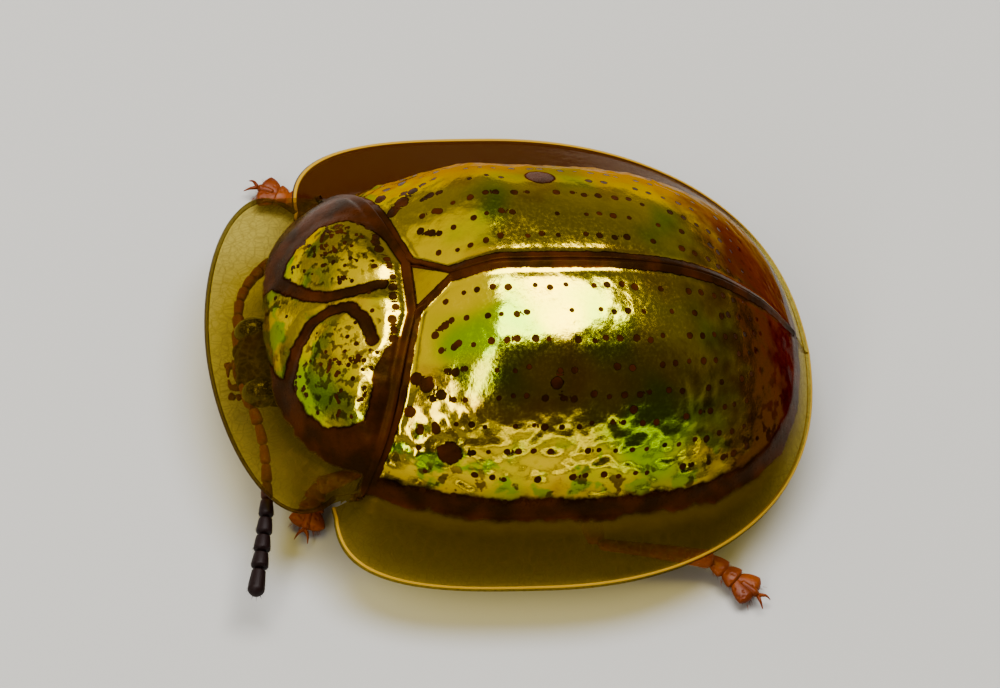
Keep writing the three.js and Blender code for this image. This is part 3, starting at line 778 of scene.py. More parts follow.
# brown outside the gold, and painted reflection along the two dark arcs
BORDER_AND_REFLECTION_BROWN = (-0.03, 0.03, 0.95, 0.0)
SIDE_FIELDS = (0.12, 0.3, 0.0, 1.0)
FIELD_INNER = (0.0, 0.08, 0.0, 1.0)
FIELD_START = (0.22, 0.32, 0.0, 1.0)
FIELD_FLECKS = ((11.0, 4.0, 4.0), (0.5, 0.58, 0.0, 0.3))
SHIELD_COPPER = (0.1, 0.5, 0.6, 0.0)
SHIELD_RIM_LINE = (0.012, 0.026, 1.0, 0.0)
SHIELD_DISC_GOLD = (0.06, 0.12, 0.0, 1.0)
SHIELD_VEIL = 0.1
RIM_DARK = shade("#3A2208")
SHIELD_LINE_VEIL = 0.7


def joint_point(share):
    """The shield's hind edge, from the middle line out to the notch."""
    if share > SHIELD_JOINT_SHARE:
        corner = (share - SHIELD_JOINT_SHARE) / (1 - SHIELD_JOINT_SHARE)
        return lerp(JOINT_SIDE[0], NOTCH[0], corner), lerp(JOINT_SIDE[1], NOTCH[1], corner)
    x = JOINT_SIDE[0] * share / SHIELD_JOINT_SHARE
    if x < PLATE_HALF_WIDTH:
        return x, PLATE_BASE_Y
    along = (x - PLATE_HALF_WIDTH) / (JOINT_SIDE[0] - PLATE_HALF_WIDTH)
    return x, lerp(PLATE_BASE_Y, JOINT_SIDE[1], along) + JOINT_BULGE * math.sin(math.pi * along * along)


def shield_edge(share):
    turn = lerp(-math.pi / 2, SHIELD_CORNER_TURN, share)
    if turn < 0:
        return quarter(-turn, 0, SHIELD_HALF_WIDTH, SHIELD_WIDEST_Y, SHIELD_FRONT_Y, SHIELD_POWER)
    return quarter(turn, SHIELD_CORNER_X, SHIELD_HALF_WIDTH, SHIELD_WIDEST_Y, NOTCH[1], 2)


even_shield_edge = evenly(shield_edge)


def disc_reach(share):
    side = min(share / SHIELD_DISC_SIDE, 1)
    outline = (1 - side**SHIELD_DISC_SQUARENESS) ** SHIELD_DISC_ROUNDING
    return max(SHIELD_DISC_SHARE * outline, SHIELD_DISC_LEAST)


def shield_point(u, v):
    """A point of the shield's upper side: u from left to right, v from the hind edge to the front."""
    across = 1 - 2 * u
    share = abs(across)
    hind = joint_point(share)
    outer = even_shield_edge(share)
    reach = disc_reach(share)
    if v < SHIELD_INNER_ROWS:
        along = reach * v / SHIELD_INNER_ROWS
    else:
        along = lerp(reach, 1, (v - SHIELD_INNER_ROWS) / (1 - SHIELD_INNER_ROWS))
    rise = max(dome_height(*hind) - SHIELD_FOOT_Z, 0) * max(1 - (along / reach) ** SHIELD_CURVE, 0)
    corner = clamp01((share - SHIELD_CORNER_SHARE) / (1 - SHIELD_CORNER_SHARE))
    foot_z = lerp(SHIELD_FOOT_Z, SHIELD_CORNER_Z, corner**SHIELD_CORNER_CURVE)
    z = lerp(foot_z, SHIELD_EDGE_Z, along**SHIELD_MARGIN_CURVE) + rise
    x = math.copysign(lerp(hind[0], outer[0], along), across)
    return Vector((x, lerp(hind[1], outer[1], along), z))


def shield_at(x, v):
    """The same point, found by how far across the hind edge it starts."""
    share = abs(x) / JOINT_SIDE[0] * SHIELD_JOINT_SHARE
    return shield_point(0.5 - math.copysign(share / 2, x), v)


def distance_to_line(x, y, line):
    best = math.inf
    for (ax, ay), (bx, by) in zip(line, line[1:]):
        share = ((x - ax) * (bx - ax) + (y - ay) * (by - ay)) / ((bx - ax) ** 2 + (by - ay) ** 2)
        share = clamp01(share)
        best = min(best, math.hypot(x - lerp(ax, bx, share), y - lerp(ay, by, share)))
    return best


def is_within(x, y, outline):
    crossings = 0
    for (ax, ay), (bx, by) in zip(outline, outline[1:] + outline[:1]):
        if (ay > y) != (by > y) and x < ax + (bx - ax) * (y - ay) / (by - ay):
            crossings += 1
    return crossings % 2 == 1


def field_depth(x, y):
    """How deep a point lies inside the shield's gold, in millimetres, less the arcs of painted
    reflection. Below 0 is outside.
    """
    depth = distance_to_line(x, y, GOLD_OUTLINE + GOLD_OUTLINE[:1])
    depth = depth if is_within(x, y, GOLD_OUTLINE) else -depth
    return min(depth, *(distance_to_line(x, y, arc) - ARC_HALF_WIDTH for arc in REFLECTION_ARCS))


def shield_pits(rng):
    pits = []
    for k in range(-HIND_PITS, HIND_PITS + 1):
        x = HIND_PIT_SPACING * k + rng.uniform(-HIND_PIT_SHIFT, HIND_PIT_SHIFT)
        place = shield_at(x, rng.uniform(*HIND_PIT_ALONG))
        pits.append((place, HIND_PIT_RADIUS * rng.uniform(*HIND_PIT_SIZES)))
    for _ in range(FIELD_PITS):
        x = rng.choice((-1, 1)) * rng.gauss(FIELD_PIT_X, FIELD_PIT_SPREAD)
        place = shield_at(x, rng.uniform(*FIELD_PIT_ALONG))
        pits.append((place, FIELD_PIT_RADIUS * rng.uniform(*FIELD_PIT_SIZES)))
    return pits


def shield():
    bm = shell_mesh()
    grid = bent_grid(bm, SHIELD_COLUMNS, SHIELD_ROWS, shield_point)
    foot = round(SHIELD_INNER_ROWS * SHIELD_ROWS)
    smooth_crease(bm, grid[PLAIN_COLUMNS:-PLAIN_COLUMNS], foot)
    sides = grid[1:CORNER_COLUMNS] + grid[-CORNER_COLUMNS:-1]
    corners = [vert for line in sides for vert in line[1:-1]]
    axes = {"use_axis_x": True, "use_axis_y": True, "use_axis_z": True}
    for _ in range(CORNER_PASSES):
        bmesh.ops.smooth_vert(bm, verts=corners, factor=SMOOTHING, **axes)
    bm.normal_update()
    seams = bm.verts.layers.float_vector["seams"]
    inside = bm.verts.layers.float["inside"]
    field = bm.verts.layers.float["field"]
    for line in grid:
        lengths = lengths_along([vert.co for vert in line])
        for j, vert in enumerate(line):
            vert[seams] = (lengths[j], 0.0, lengths[-1] - lengths[j])
            vert[inside] = lengths[foot] - lengths[j]
            vert[field] = field_depth(vert.co.x, vert.co.y)
    sink = mark_pits(bm, shield_pits(random.Random(SHIELD_SEED)))
    for vert in bm.verts:
        hind, _, rim = vert[seams]
        swell = FIELD_SWELL * clamp01(0.5 + vert[field] / FIELD_SLOPE)
        swell *= clamp01((hind - FIELD_HIND) / FIELD_HIND_FADE)
        swell += SHIELD_CRINKLE * noise.noise(vert.co * SHIELD_CRINKLE_LUMPS) - sink[vert]
        lift = relief(hind, HIND_RELIEF) + relief(rim, RIM_RELIEF)
        lift += swell * clamp01(vert[inside] / SHIELD_FOOT_FADE)
        vert.co += vert.normal * lift * clamp01((hind + rim - SHORT_LINE) / SHORT_LINE_FADE)
    return bm


def shield_chitin():
    made, tree = material("structural_gold_chitin_visor")
    hind, _, rim = seam_distances(tree)
    fine = wobble(tree, *FINE_WAVER)
    inside = add(tree, "Attribute", output="Fac", attribute_name="inside")
    edge = add(tree, "Math", (inside, wobble(tree, *SHIELD_WAVER)), operation="ADD")
    field = add(tree, "Attribute", output="Fac", attribute_name="field")
    field = add(tree, "Math", (field, fine), operation="ADD")
    ragged = add(tree, "Math", (hind, fine), operation="ADD")
    sideways = add(tree, "Math", (axis(tree, "X"),), operation="ABSOLUTE")
    flecks = mottle(tree, *FIELD_FLECKS)
    for distance, fade in ((sideways, SIDE_FIELDS), (field, FIELD_INNER), (hind, FIELD_START)):
        where = add(tree, "MapRange", (distance, *fade), **SMOOTH)
        flecks = add(tree, "Math", (flecks, where), operation="MULTIPLY")
    brown = [flecks, pit_mask(tree)]
    # the field's brown is the disc's own border outside the gold, and painted reflection along the two
    # dark arcs
    for distance, fade in ((ragged, SEAM_BROWN), (hind, HIND_BROWN), (field, BORDER_AND_REFLECTION_BROWN)):
        brown.append(add(tree, "MapRange", (distance, *fade), **SMOOTH))
    copper = add(tree, "MapRange", (edge, *SHIELD_COPPER), **SMOOTH)
    gold = mirror_inputs(tree, strongest(tree, brown), copper)
    line = add(tree, "MapRange", (rim, *SHIELD_RIM_LINE), **SMOOTH)
    line_veil = add(tree, "Math", (line, SHIELD_LINE_VEIL), operation="MULTIPLY")
    veil = strongest(tree, [cell_veil(tree, SHIELD_VEIL), line_veil])
    body = add(tree, "Mix", (line, CLEAR_BODY, RIM_DARK), data_type="RGBA")
    disc = add(tree, "MapRange", (edge, *SHIELD_DISC_GOLD), **SMOOTH)
    margin_and_disc(tree, disc, gold, body, veil)
    return made


finished(shield(), "shield_plate", shield_chitin(), ["pronotum"], CASE_THICKNESS)


# The body under the shell: prothorax, thorax and abdomen. Hard plates of dark brown chitin, finely
# pitted, in steps of five rings below the abdomen and with a groove below the thorax.

BODY_RINGS = 48
BODY_LINES = 60
BELLY_Z = 0.44
# each part: front and hind end, half width at both ends and in the middle, height of its back
BODY_PARTS = {
    "prothorax": (-2.14, -1.2, 0.7, 1.0, 1.05, 1.28),
    "thorax": (-1.18, 0.6, 1.15, 1.4, 1.42, 1.55),
    "abdomen": (0.6, 2.55, 1.45, 0.12, 1.5, 1.55),
}
BODY_BOW = 0.7
BODY_SQUARENESS = 0.75
BODY_END_SHARE = 1 / 6  # each end is rounded over this share of the length
BODY_END_LEAST = 0.05
BODY_END_ROUNDING = 0.4
ABDOMEN_TAPER = 2.6
ABDOMEN_TIP_WIDTH = 0.04
ABDOMEN_TIP_Z = 0.62
ABDOMEN_BELLY_RISE = 0.1
ABDOMEN_RINGS = 5
RING_STEP = 0.03
RING_RISE = 1 / 6  # share of a ring over which its step rises
GROOVE_DEPTH = 0.03
GROOVE_WIDTH = 0.05
WELD = 1e-5
# plain dark cuticle: its blotches, its uneven gloss and its fine pits
BODY_DARK = shade("#1C0D06")
BODY_LIGHT = shade("#3A1A0A")
CUTICLE_BLOTCHES = ((2.5, 4.0), (0.3, 0.7, 0.0, 1.0))
CUTICLE_GLOSS_LUMPS = 12.0
CUTICLE_GLOSS_NOISE = (0.3, 0.7)
CUTICLE_GLOSS_RANGE = 0.15
CUTICLE_PIT = (0.0, 0.5, 0.0, 1.0)
CUTICLE_PIT_DEPTH = 0.01
CUTICLE_SPECULAR = 0.25
CUTICLE_COAT = 0.04
CUTICLE_COAT_ROUGHNESS = 0.2


def body_point(name, u, v):
    front, end, width_front, width_end, width_middle, back_z = BODY_PARTS[name]
    is_abdomen = name == "abdomen"
    bow = 4 * v * (1 - v)
    width = lerp(lerp(width_front, width_end, v), width_middle, bow**BODY_BOW)
    height = back_z
    belly = BELLY_Z
    if is_abdomen:
        width = width_middle * max(1 - v**ABDOMEN_TAPER, 0) ** 0.5 + ABDOMEN_TIP_WIDTH
        height = lerp(back_z, ABDOMEN_TIP_Z, v**2)
        belly += ABDOMEN_BELLY_RISE * v**2
    turn = 2 * math.pi * u
    across = math.copysign(abs(math.cos(turn)) ** BODY_SQUARENESS, math.cos(turn))
    up = math.copysign(abs(math.sin(turn)) ** BODY_SQUARENESS, math.sin(turn))
    to_end = min(v, 1 - v) / BODY_END_SHARE + BODY_END_LEAST
    ends = min(1, to_end) ** BODY_END_ROUNDING
    x = across * width * ends
    z = (height + belly) / 2 + up * (height - belly) / 2 * ends
    if up < 0 and is_abdomen:
        step = (v * ABDOMEN_RINGS) % 1
        z += RING_STEP * (1 - step) * min(1, step / RING_RISE) * abs(up)
    if up < 0 and name == "thorax":
        z += GROOVE_DEPTH * hump(x, GROOVE_WIDTH) * abs(up)
    return Vector((x, lerp(front, end, v), z))


def closed(bm, columns, rows, place):
    """A grid rolled up and closed at its ends."""
    grid = bent_grid(bm, columns, rows, place)
    verts = [vert for line in grid for vert in line]
    for end in (0, -1):
        ring = [line[end] for line in grid]
        middle = sum((vert.co for vert in ring), Vector()) / len(ring)
        bmesh.ops.scale(bm, vec=(0, 0, 0), space=Matrix.Translation(-middle), verts=ring)
    bmesh.ops.remove_doubles(bm, verts=verts, dist=WELD)
    verts = [vert for vert in verts if vert.is_valid]
    faces = list({face for vert in verts for face in vert.link_faces})
    bmesh.ops.recalc_face_normals(bm, faces=faces)


def brown_chitin(name, dark, light, rough, pits_per_mm):
    """Plain dark cuticle: brown skin with a low gloss and fine pits, paler in soft blotches."""
    made, tree = material(name)
    cells = {"Vector": in_millimetres(tree), "Scale": pits_per_mm}
    height = add(tree, "MapRange", (add(tree, "TexVoronoi", cells), *CUTICLE_PIT), **SMOOTH)
    pits = {"Height": height, "Distance": CUTICLE_PIT_DEPTH * MM, "Strength": DIMPLE_STRENGTH}
    gloss = ((CUTICLE_GLOSS_LUMPS,), (*CUTICLE_GLOSS_NOISE, rough, rough + CUTICLE_GLOSS_RANGE))
    coated(tree, {
        "Base Color": add(tree, "Mix", (mottle(tree, *CUTICLE_BLOTCHES), dark, light), data_type="RGBA"),
        "Roughness": mottle(tree, *gloss),
        "Normal": add(tree, "Bump", pits),
        "Specular IOR Level": CUTICLE_SPECULAR,
        "Coat Weight": CUTICLE_COAT,
        "Coat Roughness": CUTICLE_COAT_ROUGHNESS,
    })
    return made


BODY_CHITIN = brown_chitin("dark_brown_chitin", BODY_DARK, BODY_LIGHT, rough=0.42, pits_per_mm=14.0)
for part in BODY_PARTS:
    bm = bmesh.new()
    closed(bm, BODY_RINGS, BODY_LINES, functools.partial(body_point, part))
    finished(bm, part + "_plates", BODY_CHITIN, [part])


# The head. A blunt dark capsule that hangs under the visor, with a compound eye on each side, two
# sockets for the feelers, a lip, two curved jaws and a pair of jointed palps.

HEAD_AT = Vector((0, -2.53, 0.67))
HEAD_SIZE = Vector((0.5, 0.4, 0.25))
HEAD_LINES = 64
BROW_RELIEF = [(0.03, 0.0, 0.03)]  # the groove down the middle of the face
FACE_RELIEF = [(0.025, 0.0, 0.025)]  # and the two that part from it up towards the eyes
FACE_GROOVE_X = 0.1
FACE_GROOVE_LEAN = 0.5
HEAD_UNEVENNESS = 0.006
HEAD_LUMPS = 9
SOCKET_AT = Vector((0.17, -2.87, 0.64))
SOCKET_SIZE = Vector((0.085, 0.06, 0.085))
SOCKET_LINES = 20
EYE_AT = Vector((0.37, -2.7, 0.71))
EYE_SIZE = Vector((0.15, 0.2, 0.19))
EYE_LINES = 40
LIP_AT = Vector((0, -2.84, 0.52))
LIP_SIZE = Vector((0.17, 0.09, 0.06))
CHIN_AT = Vector((0, -2.74, 0.42))
CHIN_SIZE = Vector((0.16, 0.12, 0.07))
# left jaw and left palp, and their thickness
JAW = [(0.14, -2.84, 0.46), (0.12, -2.94, 0.42), (0.01, -2.96, 0.4)]
JAW_RADIUS = 0.05
JAW_TAPER = 0.8
PALP = [(0.15, -2.78, 0.44), (0.22, -2.86, 0.36), (0.17, -2.97, 0.34)]
PALP_BEADS = 3
PALP_BEAD_SHARE = 0.97  # the rest of each length is the gap to the next bead
PALP_RADIUS = 0.034
PALP_GROWTH = 0.004
PALP_MESH = (10, 10)  # sides and rings of a bead
MOUTH_DARK = shade("#5A250A")
MOUTH_LIGHT = shade("#8A4412")
BEAD_SWELL = 1.25  # 1 divided by the share of its length at which a bead is fullest
BEAD_END = 1 / 5  # the far end is rounded over this share of a bead
SWEEP_STEP = 0.01
# the eye, with its lenses drawn at 0.025 mm across
LENS_PALE = shade("#3A3626")
LENS_BLACK = shade("#0C0B08")
LENSES_PER_MM = 40.0
LENS_UNEVENNESS = 0.35
LENS_DOME = (0.0, 0.6, 1.0, 0.0)
LENS_RING = (0.2, 0.6, 0.0, 1.0)
LENS_HEIGHT = 0.006
EYE_ROUGHNESS = 0.15
EYE_COAT = 0.8


def ball(bm, at, size, lines=32):
    place = Matrix.Translation(at) @ Matrix.Diagonal((*size, 1))
    made = bmesh.ops.create_uvsphere(bm, u_segments=lines, v_segments=lines, radius=1, matrix=place)
    return made["verts"]


def head():
    bm = bmesh.new()
    for vert in ball(bm, HEAD_AT, HEAD_SIZE, HEAD_LINES):
        local = vert.co - HEAD_AT
        face = clamp01(-local.y / HEAD_SIZE.y)
        vert.co.y += relief(local.x, BROW_RELIEF) * face
        for side in (-1, 1):
            groove_x = side * (FACE_GROOVE_X + FACE_GROOVE_LEAN * (local.z + FACE_GROOVE_X))
            vert.co.y += relief(local.x - groove_x, FACE_RELIEF) * face
        vert.co += local.normalized() * HEAD_UNEVENNESS * noise.noise(vert.co * HEAD_LUMPS)
    for side in (-1, 1):
        ball(bm, Vector((side * SOCKET_AT.x, SOCKET_AT.y, SOCKET_AT.z)), SOCKET_SIZE, SOCKET_LINES)
    return bm


def curve_through(points, share):
    """A smooth curve through a few points."""
    spans = len(points) - 1
    k = min(int(share * spans), spans - 1)
    t = share * spans - k
    p1, p2 = Vector(points[k]), Vector(points[k + 1])
    p0 = Vector(points[k - 1]) if k else 2 * p1 - p2
    p3 = Vector(points[k + 2]) if k + 2 <= spans else 2 * p2 - p1
    bent = (2 * p0 - 5 * p1 + 4 * p2 - p3) * t * t + (3 * p1 - p0 - 3 * p2 + p3) * t**3
    return 0.5 * (2 * p1 + (p2 - p0) * t + bent)


def swept(bm, points, radius_at, sides=14, rows=24, flat=1.0):
    """A closed round bar through points. radius_at gives its thickness from 0 to 1 along it."""
    def place(u, v):
        centre = curve_through(points, v)
        before = curve_through(points, max(v - SWEEP_STEP, 0))
        after = curve_through(points, min(v + SWEEP_STEP, 1))
        ahead = (after - before).normalized()
        side = Vector((0, 0, 1)).cross(ahead)
        side = side.normalized() if side.length > 1e-4 else Vector((1, 0, 0))
        turn = 2 * math.pi * u
        out = side * math.cos(turn) + ahead.cross(side) * math.sin(turn) * flat
        return centre + out * radius_at(v)

    closed(bm, sides, rows, place)


def bead(radius, neck=0.6):
    """Thickness of a joint-like piece: narrow neck, fuller towards the far end."""
    def at(share):
        swell = neck + (1 - neck) * math.sin(min(share * BEAD_SWELL, 1) * math.pi / 2)
        return radius * swell * min(1, (1 - share) / BEAD_END) ** 0.5

    return at


def taper(radius, loss):
    """Thickness of a pointed piece, which loses this share of its radius towards the tip."""
    return lambda share: radius * (1 - loss * share)


def mouthparts():
    bm = bmesh.new()
    ball(bm, LIP_AT, LIP_SIZE)
    for side in (-1, 1):
        swept(bm, [(side * x, y, z) for x, y, z in JAW], taper(JAW_RADIUS, JAW_TAPER))
        palp = [(side * x, y, z) for x, y, z in PALP]
        for k in range(PALP_BEADS):
            ends = [curve_through(palp, (k + share) / PALP_BEADS) for share in (0, PALP_BEAD_SHARE)]
            swept(bm, ends, bead(PALP_RADIUS + PALP_GROWTH * k), *PALP_MESH)
    ball(bm, CHIN_AT, CHIN_SIZE)
    return bm


def eye_facets():
    """Compound eye: hundreds of tiny clear lenses over dark pigment."""
    made, tree = material("faceted_eye_cornea")
    cells = {"Vector": in_millimetres(tree), "Scale": LENSES_PER_MM, "Randomness": LENS_UNEVENNESS}
    lens = add(tree, "TexVoronoi", cells)
    dome = add(tree, "MapRange", (lens, *LENS_DOME), **SMOOTH)
    ring = add(tree, "MapRange", (lens, *LENS_RING), **SMOOTH)
    coated(tree, {
        "Base Color": add(tree, "Mix", (ring, LENS_PALE, LENS_BLACK), data_type="RGBA"),
        "Roughness": EYE_ROUGHNESS,
        "Normal": add(tree, "Bump", {"Height": dome, "Distance": LENS_HEIGHT * MM}),
        "Coat Weight": EYE_COAT,
    })
    return made


finished(head(), "head_capsule", BODY_CHITIN, ["head"])
MOUTH_NAME = "red_brown_mouth_chitin"
MOUTH_CHITIN = brown_chitin(MOUTH_NAME, MOUTH_DARK, MOUTH_LIGHT, rough=0.3, pits_per_mm=24.0)
finished(mouthparts(), "lip_jaws_and_palps", MOUTH_CHITIN, ["mouthparts"])
EYE_FACETS = eye_facets()
for side, name in ((1, "left"), (-1, "right")):
    bm = bmesh.new()
    ball(bm, Vector((side * EYE_AT.x, EYE_AT.y, EYE_AT.z)), EYE_SIZE, EYE_LINES)
    finished(bm, "compound_eye_" + name, EYE_FACETS, ["eye_" + name])


# The feelers. Eleven jointed beads of chitin each: a stout first one in the socket, thin amber ones,
# and a club of dark, downy ones at the end. They bend only between the beads.

FEELERS = {
    "left": [
        (0.17, -2.85, 0.64),
        (0.9, -2.72, 0.6),
        (1.57, -2.75, 0.6),
        (2.16, -2.86, 0.56),
        (2.72, -2.99, 0.53),
    ],
    "right": [
        (-0.17, -2.85, 0.64),
        (-0.8, -2.78, 0.6),
        (-1.22, -2.52, 0.55),
        (-1.42, -2.15, 0.48),
        (-1.3, -1.95, 0.44),
    ],
}
# length share and radius of each bead
BEADS = [
    (1.3, 0.075),
    (0.7, 0.06),
    (0.95, 0.052),
    (0.95, 0.052),
    (0.95, 0.055),
    (0.85, 0.06),
    (0.95, 0.074),
    (0.95, 0.08),
    (0.95, 0.084),
    (0.95, 0.086),
    (1.5, 0.084),
]
BEAD_FULLNESS = 1.06
BEAD_NECK = 0.8
BEAD_MESH = (16, 18)
FEELER_SEED = 5
CLUB_FROM = 6  # beads from this one on are downy
DOWN_THIN = 10  # hairs on a bead before the club, and on one of the club
DOWN_THICK = 46
DOWN_ALONG = (0.25, 0.98)
DOWN_NECK = 0.5
DOWN_ROOT = 0.95  # hairs start this share of the radius out
DOWN_LEAN = 1.6
DOWN_LENGTH = 0.045
DOWN_RADIUS = 0.0025
HAIR_TIP = 0.2
HAIR_SIDES = 4
FEELER_AMBER = shade("#8A4A14")
FEELER_BLACK = shade("#20100E")
FEELER_DARKENING = (1.1, 1.75, 0.0, 1.0)
FEELER_LUMPS = 60.0
FEELER_RELIEF = 0.003
FEELER_ROUGHNESS = 0.5


def hair(bm, root, direction, length, radius):
    """One short stiff hair, a thin cone from its root."""
    ahead = direction.normalized()
    turn = ahead.to_track_quat("Z", "Y").to_matrix().to_4x4()
    shape = {"segments": HAIR_SIDES, "radius1": radius, "radius2": radius * HAIR_TIP, "depth": length}
    place = Matrix.Translation(root + ahead * length / 2) @ turn
    bmesh.ops.create_cone(bm, cap_ends=True, matrix=place, **shape)


def away_from(rng, ahead):
    """A direction drawn at random, square to the one ahead."""
    return Vector((rng.gauss(0, 1), rng.gauss(0, 1), rng.gauss(0, 1))).cross(ahead).normalized()


def feeler(points, rng):
    bm = bmesh.new()
    total = sum(length for length, _ in BEADS)
    start = 0.0
    for k, (length, radius) in enumerate(BEADS):
        end = start + length / total
        path = [curve_through(points, share) for share in (start, (start + end) / 2, end)]
        swept(bm, path, bead(radius * BEAD_FULLNESS, BEAD_NECK), *BEAD_MESH)
        ahead = (path[2] - path[0]).normalized()
        for _ in range(DOWN_THIN if k < CLUB_FROM else DOWN_THICK):
            share = rng.uniform(*DOWN_ALONG)
            out = away_from(rng, ahead)
            root = path[0].lerp(path[2], share) + out * bead(radius, DOWN_NECK)(share) * DOWN_ROOT
            hair(bm, root, out + ahead * DOWN_LEAN, DOWN_LENGTH, DOWN_RADIUS)
        start = end
    return bm


def feeler_chitin():
    """Amber near the head and brown-black in the club, by the distance from the middle line."""
    made, tree = material("downy_feeler_chitin")
    out = add(tree, "Math", (axis(tree, "X"),), operation="ABSOLUTE")
    dark = add(tree, "MapRange", (out, *FEELER_DARKENING), **SMOOTH)
    grain = {"Height": speckle(tree, FEELER_LUMPS), "Distance": FEELER_RELIEF * MM}
    coated(tree, {
        "Base Color": add(tree, "Mix", (dark, FEELER_AMBER, FEELER_BLACK), data_type="RGBA"),
        "Roughness": FEELER_ROUGHNESS,
        "Normal": add(tree, "Bump", grain),
        "Specular IOR Level": CUTICLE_SPECULAR,
    })
    return made


FEELER_CHITIN = feeler_chitin()
for name, points in FEELERS.items():
    bm = feeler(points, random.Random(FEELER_SEED))
    finished(bm, "feeler_" + name, FEELER_CHITIN, ["antenna_" + name])


# The legs. Each is a swollen thigh, a shin that widens to the foot, and a foot of three short pads with
# bristly soles, the third split in two lobes, and a stalk with two claws. All of red-brown chitin.

COXA_Z = 0.5
KNEE_Z = 0.52
ANKLE_Z = 0.24
FOOT_Z = 0.1
# hip, knee, ankle and tip of the foot, across and along
LEGS = {
    "front_left": [(0.4, -1.55), (1.2, -1.6), (1.25, -2.12), (1.8, -2.34)],
    "middle_left": [(0.6, -0.5), (1.5, -0.72), (1.34, 0.05), (1.52, 0.62)],
    "hind_left": [(0.7, 0.5), (2.18, 0.68), (2.24, 1.97), (2.71, 2.5)],
    "front_right": [(-0.4, -1.45), (-1.62, -1.42), (-2.32, -1.92), (-2.6, -2.42)],
    "middle_right": [(-0.6, -0.5), (-1.75, -0.72), (-2.05, -0.02), (-2.42, 0.42)],
    "hind_right": [(-0.7, 0.7), (-1.9, 0.98), (-1.62, 1.95), (-1.78, 2.45)],
}
THIGH_RADIUS = 0.15
THIGH_NECK = 0.55
THIGH_FULLNESS = 0.8
THIGH_FLATNESS = 0.85
THIGH_BOW = Vector((0, 0, 0.02))
THIGH_MESH = (24, 36)
HIP_SIZE = Vector((0.17, 0.15, 0.13))
HIP_LINES = 24
SHIN_RADIUS = 0.085
SHIN_NECK = 0.72
SHIN_GROWTH = 0.5
SHIN_GROWTH_CURVE = 1.5
# both ends are rounded: the least width at an end, and how fast it grows from there
SHIN_KNEE_END = (0.6, 8)
SHIN_ANKLE_END = (0.55, 9)
SHIN_BOW = Vector((0, 0, 0.015))
SHIN_MESH = (20, 32)
SHIN_HAIRS = 90
SHIN_HAIR_REACH = 0.8  # hairs stand on this share of the shin, closer towards the foot
SHIN_HAIR_CROWDING = 1.6
SHIN_HAIR_LENGTHS = (0.04, 0.08)
SHIN_HAIR_RADIUS = 0.003
SHIN_HAIR_ROOT = 0.92
SHIN_HAIR_LEAN = 1.8
FOOT_HALF_WIDTH = 0.185
HEEL_DROP = 0.03  # the heel lies this far below the ankle
# the three pads of a foot: start and end along it, and half width as a share
PADS = [(-0.09, 0.26, 0.6), (0.2, 0.46, 0.72), (0.4, 0.78, 1.0)]
PAD_NECK = 0.45
PAD_FLATNESS = 0.5
PAD_MESH = (18, 20)
LOBE_RADIUS = 0.62
LOBE_SPREAD = 0.5
LOBE_BOW = 0.02
STALK = (0.5, 0.84)  # its start and end along the foot
STALK_RADIUS = 0.045
STALK_MESH = (14, 16)
STALK_RISE = Vector((0, 0, 0.03))
CLAW_ROOT = 0.82
# a claw's middle and tip: ahead, sideways and up from its root
CLAW_PATH = [(0.07, 0.05, 0.01), (0.13, 0.075, -0.04)]
CLAW_RADIUS = 0.024
CLAW_TAPER = 0.85
CLAW_MESH = (10, 14)
SOLE_HAIRS = 150
SOLE_ALONG = (0.05, 0.8)
SOLE_WIDTH = (0.5, 0.95)
SOLE_DROP = 0.02  # hairs start this far below the middle of a pad
# how far a sole's hair points ahead, sideways and down
SOLE_AHEAD = 0.8
SOLE_SIDEWAYS = 0.9
SOLE_DOWN = (-1, -0.2)
SOLE_HAIR_LENGTH = 0.06
SOLE_HAIR_RADIUS = 0.0028
FLOOR_GAP = 0.002
LEG_DARK = shade("#6E300A")
LEG_LIGHT = shade("#9A5012")


def thigh_radius(share):
    fullness = THIGH_NECK + (1 - THIGH_NECK) * math.sin(math.pi * share) ** THIGH_FULLNESS
    return THIGH_RADIUS * fullness


def thigh(hip, knee):
    bm = bmesh.new()
    path = [hip, hip.lerp(knee, 0.5) + THIGH_BOW, knee]
    swept(bm, path, thigh_radius, *THIGH_MESH, THIGH_FLATNESS)
    ball(bm, hip, HIP_SIZE, HIP_LINES)
    return bm


def shin_radius(share):
    width = SHIN_NECK + SHIN_GROWTH * share**SHIN_GROWTH_CURVE
    for (least, growth), along in ((SHIN_KNEE_END, share), (SHIN_ANKLE_END, 1 - share)):
        width *= min(1, least + growth * along)
    return SHIN_RADIUS * width


def shin(knee, ankle, rng):
    bm = bmesh.new()
    swept(bm, [knee, knee.lerp(ankle, 0.5) + SHIN_BOW, ankle], shin_radius, *SHIN_MESH)
    ahead = (ankle - knee).normalized()
    for _ in range(SHIN_HAIRS):
        share = 1 - rng.random() ** SHIN_HAIR_CROWDING * SHIN_HAIR_REACH
        out = away_from(rng, ahead)
        root = knee.lerp(ankle, share) + out * shin_radius(share) * SHIN_HAIR_ROOT
        hair(bm, root, out + ahead * SHIN_HAIR_LEAN, rng.uniform(*SHIN_HAIR_LENGTHS), SHIN_HAIR_RADIUS)
    return bm


def foot_pads(bm, heel, toe, side):
    for start, end, width in PADS:
        for lobe in (-1, 1) if width == 1.0 else (0,):
            a = heel.lerp(toe, start)
            b = heel.lerp(toe, end) + side * lobe * FOOT_HALF_WIDTH * LOBE_SPREAD
            radius = FOOT_HALF_WIDTH * width * (LOBE_RADIUS if lobe else 1.0)
            path = [a, a.lerp(b, 0.5) + side * lobe * LOBE_BOW, b]
            swept(bm, path, bead(radius, PAD_NECK), *PAD_MESH, PAD_FLATNESS)


